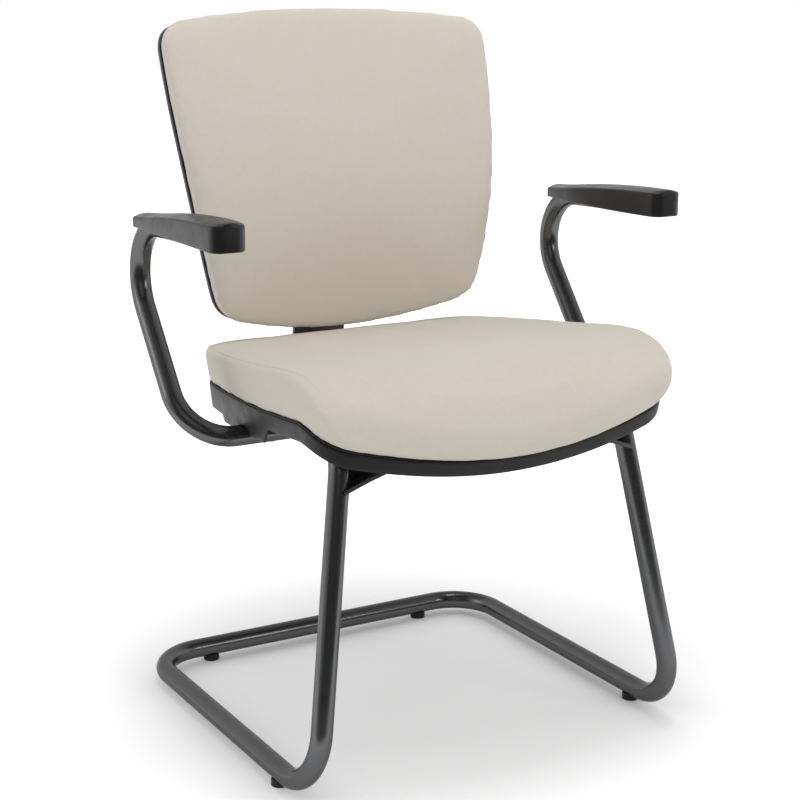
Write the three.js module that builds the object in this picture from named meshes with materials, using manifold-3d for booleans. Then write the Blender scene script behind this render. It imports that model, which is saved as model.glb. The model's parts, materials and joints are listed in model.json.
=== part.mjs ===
// Sled base visitor chair: a bent steel tube frame, an upholstered seat and back, and two arms.
// Millimetres, +Z up. The chair faces -Y, and left and right are as seen from in front of it.
import * as THREE from 'three';
import { mergeVertices } from 'three/addons/utils/BufferGeometryUtils.js';
import Module from 'manifold-3d';

const wasm = await Module();
wasm.setup();

// Clearances and shared stock
const touchGap = 0.3;
const boltGap = 0.4;
const cutOverrun = 3;
const tubeDiameter = 25;
const tubeWall = 2;
const sidesOfTube = 14;
const sidesOfScrew = 8;
const stepsOfCorner = 4;
const stepsOfArch = 12;
const degreesPerBendStep = 17;

// Floor frame
const floorClearance = 6.5;
const runnerHalfSpan = 252.2;
const sledDepth = 485.6;
const rearBendRadius = 65.8;
const frontBendRadius = 66.8;
const legTopHalfSpan = 190.3;
const legTopSetback = 56.7;
const legTopHeight = 400;
const railBendRadius = 50.3;
const railRearEnd = 136;

// Seat shell surface: a rising straight stretch and a waterfall front
const seatRearReach = 70.3;
const seatRearHeight = 410.1;
const seatRiseDegrees = 4.12;
const seatStraight = 345.2;
const waterfallRadius = 72.2;
const waterfallDegrees = 90;
const seatRearHalfWidth = 194.4;
const seatFrontHalfWidth = 238.3;
const seatFrontCorner = 400.7;
const seatRearBulge = 1.7;
const seatSideBulge = 14.5;
const seatFrontBulge = 42.9;
const seatRearCorner = 39.9;
const seatFrontSetback = 38.5;
const seatBoardThickness = 10;
const seatPadRear = 45.5;
const seatPadFront = 60.6;
const seatPadCrown = 2.9;
const seatPadNose = 14.1;
const seatNoseLength = 114.6;
const seatNoseFullness = 2.21;
const seatPadRearBulge = 6.2;
const seatPadFrontBulge = 5.5;
const panFloor = 3;
const panWall = 3;
const panFrontDrop = 18.2;
const panCornerDrop = 20.1;
const panSideDrop = 38;
const panRearDrop = 30;
const panArchStart = 322;
const panStepStart = 158.3;
const panStepLength = 14;
const panDraft = 3;

// Back shell surface: upright at the lumbar, then leaning
const backFootHeight = 462.4;
const backFootSetback = 54.1;
const backStraight = 77.5;
const backBendRadius = 659.7;
const backLeanDegrees = 14.77;
const backHeight = 403.2;
const backCornerFoot = 32.4;
const backCornerHead = 382.1;
const backFootHalfWidth = 181.2;
const backHeadHalfWidth = 226.5;
const backFootBulge = 29.8;
const backSideBulge = 12.7;
const backHeadBulge = 22.2;
const backFootCorner = 25.5;
const backHeadCorner = 30.3;
const backFootBow = 46.8;
const backHeadBow = 25.2;
const backShellWall = 4;
const backShellLip = 5;
const backBoardThickness = 10;
const backPadEdge = 29;
const backPadCrown = 15;
const backPadBulge = 2.3;

// Arms
const armHalfSpan = 296.8;
const armHeadSetback = 56.3;
const armHeadHeight = 621.2;
const armHeadRadius = 64;
const armPadRiseDegrees = 2.2;
const armTipSetback = 350;
const armFootSetback = 246.5;
const armFootRadius = 64.4;
const armInnerEnd = 150;
const padRearEnd = 139.5;
const padFrontEnd = 380.1;
const padRearWidth = 34.2;
const padMiddleWidth = 48.5;
const padFrontWidth = 41.1;
const padInset = 1.4;
const padLean = 4.7;
const padRearRise = 10.3;
const padMiddleRise = 25.6;
const padFrontRise = 30.3;
const padCrown = 3;
const padFootRise = 0.6;
const padEdgeRadius = 5;

// Flat steel under the seat and behind the back
const spineWidth = 76.2;
const spineThickness = 6;
const spineFrontEnd = 330;
const spineBendRadius = 32;
const spineRearFace = 1.5;
const spineTopRise = 167.6;
const spineTopGap = 10;
const crossPlateThickness = 5;
const crossPlateWidth = 42;
const frontCrossPlate = 300;
const rearCrossPlate = 162;
const archWidth = 25;
const archThickness = 5;
const archWebHeight = 24;
const archEndHeight = 356.1;
const archRise = 37.9;
const archForward = 16.4;

const bracketWidth = 92;
const bracketFoot = 40;
const bracketFromTop = 21.6;
const bracketCorner = 18;
const bracketGap = 0.8;
const bracketRingShares = [0.5, 1];

// Fasteners and small parts
const boltDiameter = 6;
const boltHeadDiameter = 11;
const boltHeadHeight = 3.5;
const teeNutDiameter = 11;
const teeNutFlange = 1.6;
const teeNutFlangeDiameter = 18;
const teeNutBarrel = 8;
const padScrewDiameter = 5;
const padScrewHead = 9;
const padScrewDepth = 3.5;
const flatHeadSink = 0.5;
const flatHeadEdge = 0.5;
const padScrewFromEnd = 30;
const padScrewPitch = 80;
const glideDiameter = 21;
const glideHug = 3;
const glideRecessShare = 0.4;
const glideChamfer = 1;
const glideScrewDiameter = 4;
const glideScrewHead = 8;
const rearGlideHalfSpan = 163.6;
const frontGlideSetback = 391.6;
const plugFlange = 2;
const plugDepth = 12;
const seatBoltFront = 360;
const seatBoltRear = 205;
const backBoltFromTop = 25;
const backBoltFromFoot = 10.5;
const backBoltHalfSpan = 25;
const backBoltBite = 8;
const armBoltReach = 8;

const tubeRadius = tubeDiameter / 2;
const tubeBore = tubeRadius - tubeWall;
const frameHeight = floorClearance + tubeRadius;
const up = new THREE.Vector3(0, 0, 1);

// Materials
function finish(color, roughness, metalness) {
  return new THREE.MeshStandardMaterial({ color, roughness, metalness });
}
const framePaint = finish(0x4a4b4d, 0.42, 0.35);
const blackPlastic = finish(0x2f3031, 0.6, 0);
const padPlastic = finish(0x3b3b3d, 0.62, 0);
const shellPlastic = finish(0x4c4d50, 0.55, 0);
const fabric = finish(0xcbc3b7, 0.95, 0);
const plywood = finish(0xc9a878, 0.8, 0);
const zincSteel = finish(0x9a9c9e, 0.4, 0.9);

const chair = new THREE.Group();

function radians(degrees) {
  return degrees * Math.PI / 180;
}

function point(x, y, z) {
  return new THREE.Vector3(x, y, z);
}

// Closed solids and boolean joins and cuts
function solidOf(geometry) {
  const bare = new THREE.BufferGeometry();
  const loose = geometry.index ? geometry.toNonIndexed() : geometry;
  bare.setAttribute('position', loose.attributes.position.clone());
  const merged = mergeVertices(bare);
  return new wasm.Manifold(new wasm.Mesh({
    numProp: 3,
    vertProperties: new Float32Array(merged.attributes.position.array),
    triVerts: new Uint32Array(merged.index.array),
  }));
}

function geometryOf(solid) {
  const mesh = solid.getMesh();
  const geometry = new THREE.BufferGeometry();
  geometry.setAttribute('position', new THREE.BufferAttribute(mesh.vertProperties, 3));
  geometry.setIndex(new THREE.BufferAttribute(mesh.triVerts, 1));
  return geometry;
}

function cut(geometry, cutters) {
  let solid = solidOf(geometry);
  for (const cutter of cutters) {
    solid = solid.subtract(solidOf(cutter));
  }
  return geometryOf(solid);
}

function facingOut(geometry) {
  const corners = geometry.toNonIndexed().attributes.position;
  const a = new THREE.Vector3();
  const b = new THREE.Vector3();
  const c = new THREE.Vector3();
  let volume = 0;
  for (let i = 0; i < corners.count; i += 3) {
    a.fromBufferAttribute(corners, i);
    b.fromBufferAttribute(corners, i + 1);
    c.fromBufferAttribute(corners, i + 2);
    volume += a.dot(b.cross(c));
  }
  return volume > 0;
}

function add(name, geometry, material) {
  geometry.deleteAttribute('normal');
  geometry.deleteAttribute('uv');
  geometry.computeVertexNormals();
  const mesh = new THREE.Mesh(geometry, material);
  mesh.name = name;
  chair.add(mesh);
  return mesh;
}

function ringGirth(ring) {
  return ring.reduce((sum, place, i) => sum + place.distanceTo(ring[(i + 1) % ring.length]), 0);
}

// A closed body from rings of points, from one pole to the other. Every band is split along the
// same diagonal, seen from its smaller ring, so that surfaces stacked on each other stay parallel.
function ringBody(firstPole, rings, lastPole) {
  const count = rings[0].length;
  const places = [firstPole, ...rings.flat(), lastPole];
  const last = places.length - 1;
  const top = last - count;
  const girths = rings.map(ringGirth);
  const faces = [];
  for (let i = 0; i < count; i += 1) {
    const next = (i + 1) % count;
    faces.push(0, 1 + next, 1 + i);
    faces.push(last, top + i, top + next);
    for (let ring = 0; ring < rings.length - 1; ring += 1) {
      const low = 1 + ring * count;
      const high = low + count;
      if (girths[ring] <= girths[ring + 1]) {
        faces.push(low + i, low + next, high + next);
        faces.push(low + i, high + next, high + i);
      } else {
        faces.push(low + i, low + next, high + i);
        faces.push(low + next, high + next, high + i);
      }
    }
  }
  const geometry = new THREE.BufferGeometry();
  const numbers = places.flatMap((place) => place.toArray());
  geometry.setAttribute('position', new THREE.Float32BufferAttribute(numbers, 3));
  geometry.setIndex(faces);
  if (!facingOut(geometry)) {
    geometry.setIndex(faces.reverse());
  }
  return geometry;
}

// A route of straight stretches with round bends, ringed only at the bends and the ends
class BentRoute extends THREE.Curve {
  constructor(corners, radii) {
    super();
    this.stations = [];
    this.headings = [];
    const lastIndex = corners.length - 1;
    this.place(corners[0], corners[1].clone().sub(corners[0]).normalize());
    for (let i = 1; i < lastIndex; i += 1) {
      const inward = corners[i].clone().sub(corners[i - 1]).normalize();
      const outward = corners[i + 1].clone().sub(corners[i]).normalize();
      this.bend(corners[i], inward, outward, radii[i - 1]);
    }
    const end = corners[lastIndex].clone().sub(corners[lastIndex - 1]).normalize();
    this.place(corners[lastIndex], end);
  }

  place(station, heading) {
    this.stations.push(station.clone());
    this.headings.push(heading.clone());
  }

  bend(corner, inward, outward, radius) {
    const turn = inward.angleTo(outward);
    const reach = radius * Math.tan(turn / 2);
    const start = corner.clone().addScaledVector(inward, -reach);
    const axis = inward.clone().cross(outward).normalize();
    const toCentre = axis.clone().cross(inward).normalize();
    const centre = start.clone().addScaledVector(toCentre, radius);
    const steps = Math.max(2, Math.ceil(turn / radians(degreesPerBendStep)));
    for (let step = 0; step <= steps; step += 1) {
      const angle = turn * step / steps;
      const spoke = toCentre.clone().negate().applyAxisAngle(axis, angle);
      const station = centre.clone().addScaledVector(spoke, radius);
      this.place(station, inward.clone().applyAxisAngle(axis, angle));
    }
  }

  get steps() {
    return this.stations.length - 1;
  }

  getPointAt(share, target = new THREE.Vector3()) {
    return target.copy(this.stations[Math.round(share * this.steps)]);
  }

  getTangentAt(share, target = new THREE.Vector3()) {
    return target.copy(this.headings[Math.round(share * this.steps)]);
  }
}

function circlePoints(radius, sides) {
  const points = [];
  for (let i = 0; i < sides; i += 1) {
    const angle = 2 * Math.PI * (i + 0.5) / sides;
    points.push(new THREE.Vector2(radius * Math.cos(angle), radius * Math.sin(angle)));
  }
  return points;
}

function along(route, shape) {
  const options = { steps: route.steps, bevelEnabled: false, extrudePath: route };
  return new THREE.ExtrudeGeometry(shape, options);
}

function tubeAlong(route) {
  const shape = new THREE.Shape(circlePoints(tubeRadius, sidesOfTube));
  shape.holes.push(new THREE.Path(circlePoints(tubeBore, sidesOfTube)));
  return along(route, shape);
}

// The space that a tube takes, with room round it
function tubeSpace(route, room) {
  return along(route, new THREE.Shape(circlePoints(tubeRadius + room, sidesOfTube)));
}

// A rod between two points, for holes and shanks
function rod(from, to, radius, sides) {
  const line = to.clone().sub(from);
  const geometry = new THREE.CylinderGeometry(radius, radius, line.length(), sides);
  const turn = new THREE.Quaternion().setFromUnitVectors(point(0, 1, 0), line.clone().normalize());
  geometry.applyQuaternion(turn);
  geometry.translate(...from.clone().add(to).multiplyScalar(0.5).toArray());
  return geometry;
}

// A turned part whose profile of [radius, height] pairs stands on a base point along an axis
function turned(profile, base, axis, sides) {
  const outline = profile.map(([radius, height]) => new THREE.Vector2(radius, height));
  const geometry = new THREE.LatheGeometry(outline, sides);
  geometry.applyQuaternion(new THREE.Quaternion().setFromUnitVectors(point(0, 1, 0), axis));
  geometry.translate(...base.toArray());
  return geometryOf(solidOf(geometry));
}

// A bolt with its head below its base point and its shank along the axis
function headedBolt(base, axis, length) {
  const profile = [
    [0, -boltHeadHeight], [boltHeadDiameter / 2, -boltHeadHeight], [boltHeadDiameter / 2, 0],
    [boltDiameter / 2, 0], [boltDiameter / 2, length], [0, length],
  ];
  return turned(profile, base, axis, sidesOfScrew);
}

// The profile of a countersunk screw, or of the room for one when it is given room all round
function flatHeaded(foot, headDiameter, shankDiameter, top, room) {
  const head = headDiameter / 2 + room;
  const shank = shankDiameter / 2 + room;
  const edge = flatHeadSink + flatHeadEdge;
  const neck = edge + head - shank;
  const end = top + room;
  return [[0, foot], [head, foot], [head, edge], [shank, neck], [shank, end], [0, end]];
}

// A side view line in the YZ plane: straight, round, then straight to its end
class SideLine {
  constructor(y, z, startDegrees, straight, turnDegrees, radius) {
    this.y = y;
    this.z = z;
    this.start = radians(startDegrees);
    this.straight = straight;
    this.turn = radians(turnDegrees);
    this.arc = Math.abs(this.turn) * radius;
    this.curvature = Math.sign(this.turn) / radius;
  }

  at(length) {
    const before = Math.min(length, this.straight);
    const round = Math.min(Math.max(length - this.straight, 0), this.arc);
    const after = Math.max(length - this.straight - this.arc, 0);
    const heading = this.start + this.curvature * round;
    const roundY = (Math.sin(heading) - Math.sin(this.start)) / this.curvature;
    const roundZ = (Math.cos(heading) - Math.cos(this.start)) / this.curvature;
    return {
      y: this.y - before * Math.cos(this.start) - roundY - after * Math.cos(heading),
      z: this.z + before * Math.sin(this.start) - roundZ + after * Math.sin(heading),
      heading,
    };
  }
}

// An outline of bulged edges between corners, each corner rounded over its setback
function roundedOutline(corners, bulges, setbacks, edgeSteps, cornerSteps) {
  const count = corners.length;
  const edges = corners.map((corner, i) => {
    const next = corners[(i + 1) % count];
    const side = next.clone().sub(corner);
    const outward = new THREE.Vector2(side.y, -side.x).normalize();
    const middle = corner.clone().add(next).multiplyScalar(0.5).addScaledVector(outward, 2 * bulges[i]);
    return { curve: new THREE.QuadraticBezierCurve(corner, middle, next), length: side.length() };
  });
  const outline = [];
  for (let i = 0; i < count; i += 1) {
    const edge = edges[i];
    const next = edges[(i + 1) % count];
    const startShare = setbacks[i] / edge.length;
    const endShare = 1 - setbacks[(i + 1) % count] / edge.length;
    for (let step = 0; step <= edgeSteps[i]; step += 1) {
      outline.push(edge.curve.getPoint(startShare + (endShare - startShare) * step / edgeSteps[i]));
    }
    const leaving = edge.curve.getPoint(endShare);
    const entering = next.curve.getPoint(setbacks[(i + 1) % count] / next.length);
    const round = new THREE.QuadraticBezierCurve(leaving, corners[(i + 1) % count], entering);
    for (let step = 1; step < cornerSteps; step += 1) {
      outline.push(round.getPoint(step / cornerSteps));
    }
  }
  return outline;
}

// The outline drawn in by a distance towards its own middle
function drawnIn(outline, middle, distance) {
  return outline.map((place) => {
    const arm = place.clone().sub(middle);
    const share = 1 - distance / arm.length();
    return middle.clone().addScaledVector(arm, share);
  });
}

function scaledIn(outline, middle, share) {
  return outline.map((place) => middle.clone().add(place.clone().sub(middle).multiplyScalar(share)));
}

// Seat
const stepsOfSeatEdges = [4, 11, 10, 11];
const seatLine = new SideLine(
  -seatRearReach, seatRearHeight, seatRiseDegrees, seatStraight, -waterfallDegrees, waterfallRadius,
);
const seatMiddle = new THREE.Vector2(0, seatFrontCorner / 2);
const seatOutline = roundedOutline(
  [
    new THREE.Vector2(-seatRearHalfWidth, 0),
    new THREE.Vector2(seatRearHalfWidth, 0),
    new THREE.Vector2(seatFrontHalfWidth, seatFrontCorner),
    new THREE.Vector2(-seatFrontHalfWidth, seatFrontCorner),
  ],
  [seatRearBulge, seatSideBulge, seatFrontBulge, seatSideBulge],
  [seatRearCorner, seatRearCorner, seatFrontSetback, seatFrontSetback],
  stepsOfSeatEdges,
  stepsOfCorner,
);

function seatPoint(place, height) {
  const line = seatLine.at(place.y);
  const y = line.y + height * Math.sin(line.heading);
  return point(place.x, y, line.z + height * Math.cos(line.heading));
}

function seatRing(outline, height) {
  return outline.map((place) => seatPoint(place, height));
}

// The seat's layers share these rings, so that they nest along the waterfall
const seatRingShares = [0.58, 0.68, 0.78, 0.86, 0.93];
const seatBoardShare = seatRingShares.at(-1);

function seatRings(height) {
  return seatRingShares.map((share) => seatRing(scaledIn(seatOutline, seatMiddle, share), height));
}

function seatPadHeight(place) {
  const acrossShare = place.x / seatFrontHalfWidth;
  const frontEdge = seatFrontCorner + seatFrontBulge * (1 - acrossShare * acrossShare);
  const noseShare = Math.min(Math.max((place.y - frontEdge) / seatNoseLength + 1, 0), 1);
  const alongShare = Math.min(Math.max(place.y / seatStraight, 0), 1);
  const full = seatPadRear + (seatPadFront - seatPadRear) * alongShare;
  const noseHeightShare = (1 - noseShare ** seatNoseFullness) ** (1 / seatNoseFullness);
  return seatPadNose + (full - seatPadNose) * noseHeightShare;
}

function seatBoltPlaces() {
  const rise = Math.cos(radians(seatRiseDegrees));
  const places = [];
  for (const side of [-1, 1]) {
    for (const setback of [seatBoltFront, seatBoltRear]) {
      places.push(new THREE.Vector2(side * railHalfSpan, (setback - seatRearReach) / rise));
    }
  }
  return places;
}

function makeSeatBoard() {
  const under = seatRings(0);
  const over = seatRings(seatBoardThickness).reverse();
  const board = ringBody(
    seatPoint(seatMiddle, 0), [...under, ...over], seatPoint(seatMiddle, seatBoardThickness),
  );
  const flangeFoot = seatBoardThickness - teeNutFlange - touchGap;
  const holes = seatBoltPlaces().flatMap((place) => {
    const above = seatPoint(place, seatBoardThickness + cutOverrun);
    return [
      rod(seatPoint(place, -cutOverrun), above, teeNutDiameter / 2 + touchGap, sidesOfScrew),
      rod(seatPoint(place, flangeFoot), above, teeNutFlangeDiameter / 2 + touchGap, sidesOfScrew),
    ];
  });
  add('seat_board', cut(board, holes), plywood);
}

// Each cushion ring beside its seam: shares of the side's bulge and of the height
const sideRingShares = [[0, 0], [0.45, 0.25], [0.8, 0.55], [1, 0.78], [0.35, 0.93]];
const crownRingShares = [0.96, 0.9, 0.78, 0.58];

function makeSeatCushion() {
  const floorHeight = seatBoardThickness + touchGap;
  const room = scaledIn(seatOutline, seatMiddle, seatBoardShare + touchGap / seatFrontHalfWidth);
  const hollow = [...seatRings(floorHeight).slice(0, -1), seatRing(room, floorHeight)];
  const sides = sideRingShares.map(([bulgeShare, heightShare]) => {
    return seatOutline.map((seam) => {
      const alongShare = Math.min(seam.y / seatFrontCorner, 1);
      const fullBulge = seatPadRearBulge + (seatPadFrontBulge - seatPadRearBulge) * alongShare;
      const bulge = fullBulge * seatPadHeight(seam) / seatPadFront;
      const place = drawnIn([seam], seatMiddle, -bulgeShare * bulge)[0];
      const rise = heightShare * (seatPadHeight(seam) - touchGap);
      return seatPoint(place, touchGap + rise);
    });
  });
  const crown = crownRingShares.map((share) => {
    const ring = scaledIn(seatOutline, seatMiddle, share);
    return ring.map((place) => seatPoint(place, seatPadHeight(place) + seatPadCrown * (1 - share * share)));
  });
  const body = ringBody(
    seatPoint(seatMiddle, floorHeight),
    [...hollow, seatRing(room, touchGap), ...sides, ...crown],
    seatPoint(seatMiddle, seatPadHeight(seatMiddle) + seatPadCrown),
  );
  add('seat_cushion', body, fabric);
}

function smoothShare(value, start, length) {
  const share = Math.min(Math.max((value - start) / length, 0), 1);
  return share * share * (3 - 2 * share);
}

// How far the pan's skirt hangs below the seam, from the rear to the front of the seat
function skirtDrop(place) {
  const rearStepShare = smoothShare(place.y, panStepStart - seatRearReach, panStepLength);
  const side = panRearDrop + (panSideDrop - panRearDrop) * rearStepShare;
  const archShare = smoothShare(place.y, panArchStart - seatRearReach, panStepLength);
  const frontShare = smoothShare(place.y, seatFrontCorner - seatNoseLength / 2, seatNoseLength);
  const front = panCornerDrop + (panFrontDrop - panCornerDrop) * frontShare;
  return side + (front - side) * archShare;
}

// The skirt's foot hangs under the seam, drawn in level towards the seat's middle
function skirtFoot(inward) {
  const middle = seatPoint(seatMiddle, 0);
  return seatOutline.map((place) => {
    const foot = seatPoint(place, -touchGap);
    const level = point(middle.x - foot.x, middle.y - foot.y, 0).normalize();
    foot.addScaledVector(level, inward);
    foot.z -= skirtDrop(place);
    return foot;
  });
}

function makeSeatPan() {
  const floorUnder = -touchGap - panFloor;
  const inner = drawnIn(seatOutline, seatMiddle, panWall);
  const body = ringBody(
    seatPoint(seatMiddle, floorUnder),
    [
      ...seatRings(floorUnder), seatRing(inner, floorUnder),
      skirtFoot(panDraft + panWall), skirtFoot(panDraft),
      seatRing(seatOutline, -touchGap), ...seatRings(-touchGap).reverse(),
    ],
    seatPoint(seatMiddle, -touchGap),
  );
  const holes = seatBoltPlaces().map((place) => rod(
    seatPoint(place, -panFloor - cutOverrun), seatPoint(place, cutOverrun),
    boltDiameter / 2 + boltGap, sidesOfScrew,
  ));
  const arms = [-1, 1].map((side) => tubeSpace(armRoute(side), 2 * boltGap));
  add('seat_pan', cut(body, [...holes, ...arms, spineSpace()]), blackPlastic);
}

// Rails under the seat
const railDepth = touchGap + panFloor + touchGap + tubeRadius;

function underSeat(setback, depth) {
  const straightY = setback - seatRearReach;
  const place = new THREE.Vector2(0, straightY / Math.cos(radians(seatRiseDegrees)));
  return seatPoint(place, -depth);
}

function railPoint(side, setback) {
  const place = underSeat(setback, railDepth);
  return point(side * railHalfSpan, place.y, place.z);
}

// The leg's line from the front floor corner up through its named top, out to the rail's height
const legFoot = point(runnerHalfSpan, -sledDepth, frameHeight);
const legMark = point(legTopHalfSpan, -sledDepth + legTopSetback, legTopHeight);
const legHeading = legMark.clone().sub(legFoot).normalize();

function railCornerOnLeg() {
  const railSlope = Math.tan(radians(seatRiseDegrees));
  const rail = underSeat(seatRearReach + seatStraight / 2, railDepth);
  const gap = rail.z - railSlope * (legFoot.y - rail.y) - legFoot.z;
  const reach = gap / (legHeading.z + railSlope * legHeading.y);
  return legFoot.clone().addScaledVector(legHeading, reach);
}
const railCorner = railCornerOnLeg();
const railHalfSpan = railCorner.x;

function mirrored(place) {
  return point(-place.x, place.y, place.z);
}

function sledRoute() {
  const railEnd = railPoint(1, railRearEnd);
  const rearCorner = point(runnerHalfSpan, 0, frameHeight);
  const right = [railEnd, railCorner, legFoot, rearCorner];
  const left = right.map(mirrored).reverse();
  const radii = [railBendRadius, frontBendRadius, rearBendRadius];
  return new BentRoute([...right, ...left], [...radii, ...radii.slice().reverse()]);
}

function glidePlaces() {
  const places = [];
  for (const [name, side] of [['left', -1], ['right', 1]]) {
    const rear = point(side * rearGlideHalfSpan, 0, 0);
    const front = point(side * runnerHalfSpan, -frontGlideSetback, 0);
    places.push({ name: `rear_${name}`, at: rear, run: point(1, 0, 0) });
    places.push({ name: `front_${name}`, at: front, run: point(0, 1, 0) });
  }
  return places;
}

const glideScrewTop = frameHeight - tubeBore + tubeWall;

function makeSled() {
  const boltHoles = seatBoltPlaces().map((place) => rod(
    seatPoint(place, -railDepth - tubeRadius - cutOverrun), seatPoint(place, cutOverrun),
    boltDiameter / 2 + boltGap, sidesOfScrew,
  ));
  const glideHoles = glidePlaces().map((glide) => rod(
    glide.at, glide.at.clone().addScaledVector(up, frameHeight),
    glideScrewDiameter / 2 + touchGap, sidesOfScrew,
  ));
  const armHoles = [-1, 1].map(armBoltRoom);
  add('sled_tube', cut(tubeAlong(sledRoute()), [...boltHoles, ...glideHoles, ...armHoles]), framePaint);
}

function makeGlides() {
  const hug = frameHeight - tubeRadius + glideHug;
  const recess = floorClearance * glideRecessShare;
  for (const glide of glidePlaces()) {
    const radius = glideDiameter / 2;
    const body = turned(
      [[0, 0], [radius - glideChamfer, 0], [radius, glideChamfer], [radius, hug], [0, hug]],
      glide.at, up, sidesOfTube,
    );
    const runLength = glideDiameter + cutOverrun;
    const tubeLine = glide.at.clone().addScaledVector(up, frameHeight);
    const tube = rod(
      tubeLine.clone().addScaledVector(glide.run, -runLength),
      tubeLine.clone().addScaledVector(glide.run, runLength), tubeRadius + touchGap, 2 * sidesOfTube,
    );
    const headRoom = rod(
      glide.at.clone().addScaledVector(up, -cutOverrun),
      glide.at.clone().addScaledVector(up, recess + touchGap),
      glideScrewHead / 2 + touchGap, sidesOfScrew,
    );
    const shankRoom = rod(glide.at, tubeLine, glideScrewDiameter / 2 + touchGap, sidesOfScrew);
    add(`glide_${glide.name}`, cut(body, [tube, headRoom, shankRoom]), blackPlastic);
    const screw = turned(
      [
        [0, recess / 3], [glideScrewHead / 2, recess / 3], [glideScrewHead / 2, recess],
        [glideScrewDiameter / 2, recess], [glideScrewDiameter / 2, glideScrewTop], [0, glideScrewTop],
      ],
      glide.at, up, sidesOfScrew,
    );
    add(`glide_screw_${glide.name}`, screw, zincSteel);
  }
}

// A plastic plug in the open end of a tube
function plug(name, end, outward) {
  const bore = tubeBore - touchGap;
  const flange = tubeRadius - touchGap;
  const profile = [
    [0, -plugDepth], [bore, -plugDepth], [bore, touchGap], [flange, touchGap], [flange, plugFlange],
    [0, plugFlange + touchGap],
  ];
  add(name, turned(profile, end, outward, sidesOfTube), blackPlastic);
}

function railHeading() {
  return railPoint(1, railRearEnd).sub(railPoint(1, railRearEnd + tubeDiameter)).normalize();
}

// Arms: a pad stretch, a round head, a slanting stretch and a foot under the seat rail
function armRoute(side, tipRoom = 0) {
  const reach = armTipSetback + tipRoom;
  const rise = (reach - armHeadSetback) * Math.tan(radians(armPadRiseDegrees));
  const tip = point(side * armHalfSpan, -reach, armHeadHeight + rise);
  const head = point(side * armHalfSpan, -armHeadSetback, armHeadHeight);
  const footHeight = armFootHeight();
  const foot = point(side * armHalfSpan, -armFootSetback, footHeight);
  const end = point(side * armInnerEnd, -armFootSetback, footHeight);
  return new BentRoute([tip, head, foot, end], [armHeadRadius, armFootRadius]);
}

function armFootHeight() {
  const rail = underSeat(armFootSetback, railDepth);
  return rail.z - (tubeRadius * 2 + touchGap) / Math.cos(radians(seatRiseDegrees));
}

// Countersunk screws go up through the arm tube into the pad
function padScrews(side) {
  const rise = radians(armPadRiseDegrees);
  const route = armRoute(side);
  const tip = route.stations[0];
  const back = route.headings[0];
  const normal = point(0, Math.sin(rise), Math.cos(rise));
  return [padScrewFromEnd, padScrewFromEnd + padScrewPitch].map((reach) => ({
    at: tip.clone().addScaledVector(back, reach).addScaledVector(normal, -tubeRadius),
    normal,
  }));
}

function padScrew(screw, foot, room) {
  const profile = flatHeaded(foot, padScrewHead, padScrewDiameter, tubeDiameter + padScrewDepth, room);
  return turned(profile, screw.at, screw.normal, sidesOfScrew);
}

function padScrewRoom(side) {
  return padScrews(side).map((screw) => padScrew(screw, -cutOverrun, touchGap));
}

// One countersunk bolt at each side goes up through the arm tube into the rail above it
function armBolt(side, foot, room) {
  const base = point(railPoint(side, armFootSetback).x, -armFootSetback, armFootHeight() - tubeRadius);
  const profile = flatHeaded(foot, boltHeadDiameter, boltDiameter, tubeDiameter + armBoltReach, room);
  return turned(profile, base, up, sidesOfScrew);
}

function armBoltRoom(side) {
  return armBolt(side, -cutOverrun, touchGap);
}

function makeArm(name, side) {
  const route = armRoute(side);
  add(`arm_tube_${name}`, cut(tubeAlong(route), [...padScrewRoom(side), armBoltRoom(side)]), framePaint);
  add(`arm_bolt_${name}`, armBolt(side, flatHeadSink, 0), zincSteel);
  plug(`arm_foot_plug_${name}`, route.stations[route.steps], route.headings[route.steps]);
  plug(`arm_tip_plug_${name}`, route.stations[0], route.headings[0].clone().negate());
  padScrews(side).forEach((screw, i) => {
    add(`pad_screw_${name}_${i + 1}`, padScrew(screw, flatHeadSink, 0), zincSteel);
  });
  makePad(name, side);
}

// Stations along a pad from rear to front: shares of its length and of its full width there
const padStationShares = [
  [0, 0.8], [0.02, 0.94], [0.06, 1], [0.25, 1], [0.45, 1],
  [0.65, 1], [0.82, 1], [0.93, 0.99], [0.98, 0.93], [1, 0.76],
];

// A smooth value through the rear, the middle and the front of a pad
function padValue(rear, middle, front, share) {
  const bend = 2 * (rear + front) - 4 * middle;
  return rear + (front - rear - bend) * share + bend * share * share;
}

function padSection(side, share, widthShare) {
  const y = -padRearEnd - (padFrontEnd - padRearEnd) * share;
  const width = padValue(padRearWidth, padMiddleWidth, padFrontWidth, share);
  const middleX = armHalfSpan - padInset - padLean * 4 * share * (1 - share);
  const half = widthShare * width / 2;
  const underside = armHeadHeight + padFootRise;
  const top = armHeadHeight + padValue(padRearRise, padMiddleRise, padFrontRise, share);
  const flat = half - padEdgeRadius;
  const round = padEdgeRadius * (1 - Math.SQRT1_2);
  const section = [
    [half, underside], [half, top - padEdgeRadius], [half - round, top - round], [flat, top],
    [0, top + padCrown],
    [-flat, top], [round - half, top - round], [-half, top - padEdgeRadius], [-half, underside],
    [0, underside],
  ];
  return section.map(([x, z]) => point(side * (middleX + x), y, z));
}

function middleOf(places) {
  return places.reduce((sum, place) => sum.add(place), point(0, 0, 0)).divideScalar(places.length);
}

function makePad(name, side) {
  const rings = padStationShares.map(([share, widthShare]) => padSection(side, share, widthShare));
  const body = ringBody(middleOf(rings[0]), rings, middleOf(rings.at(-1)));
  const tubeRoom = tubeSpace(armRoute(side, plugFlange + 2 * touchGap), touchGap);
  add(`arm_pad_${name}`, cut(body, [tubeRoom, ...padScrewRoom(side)]), padPlastic);
}

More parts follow.
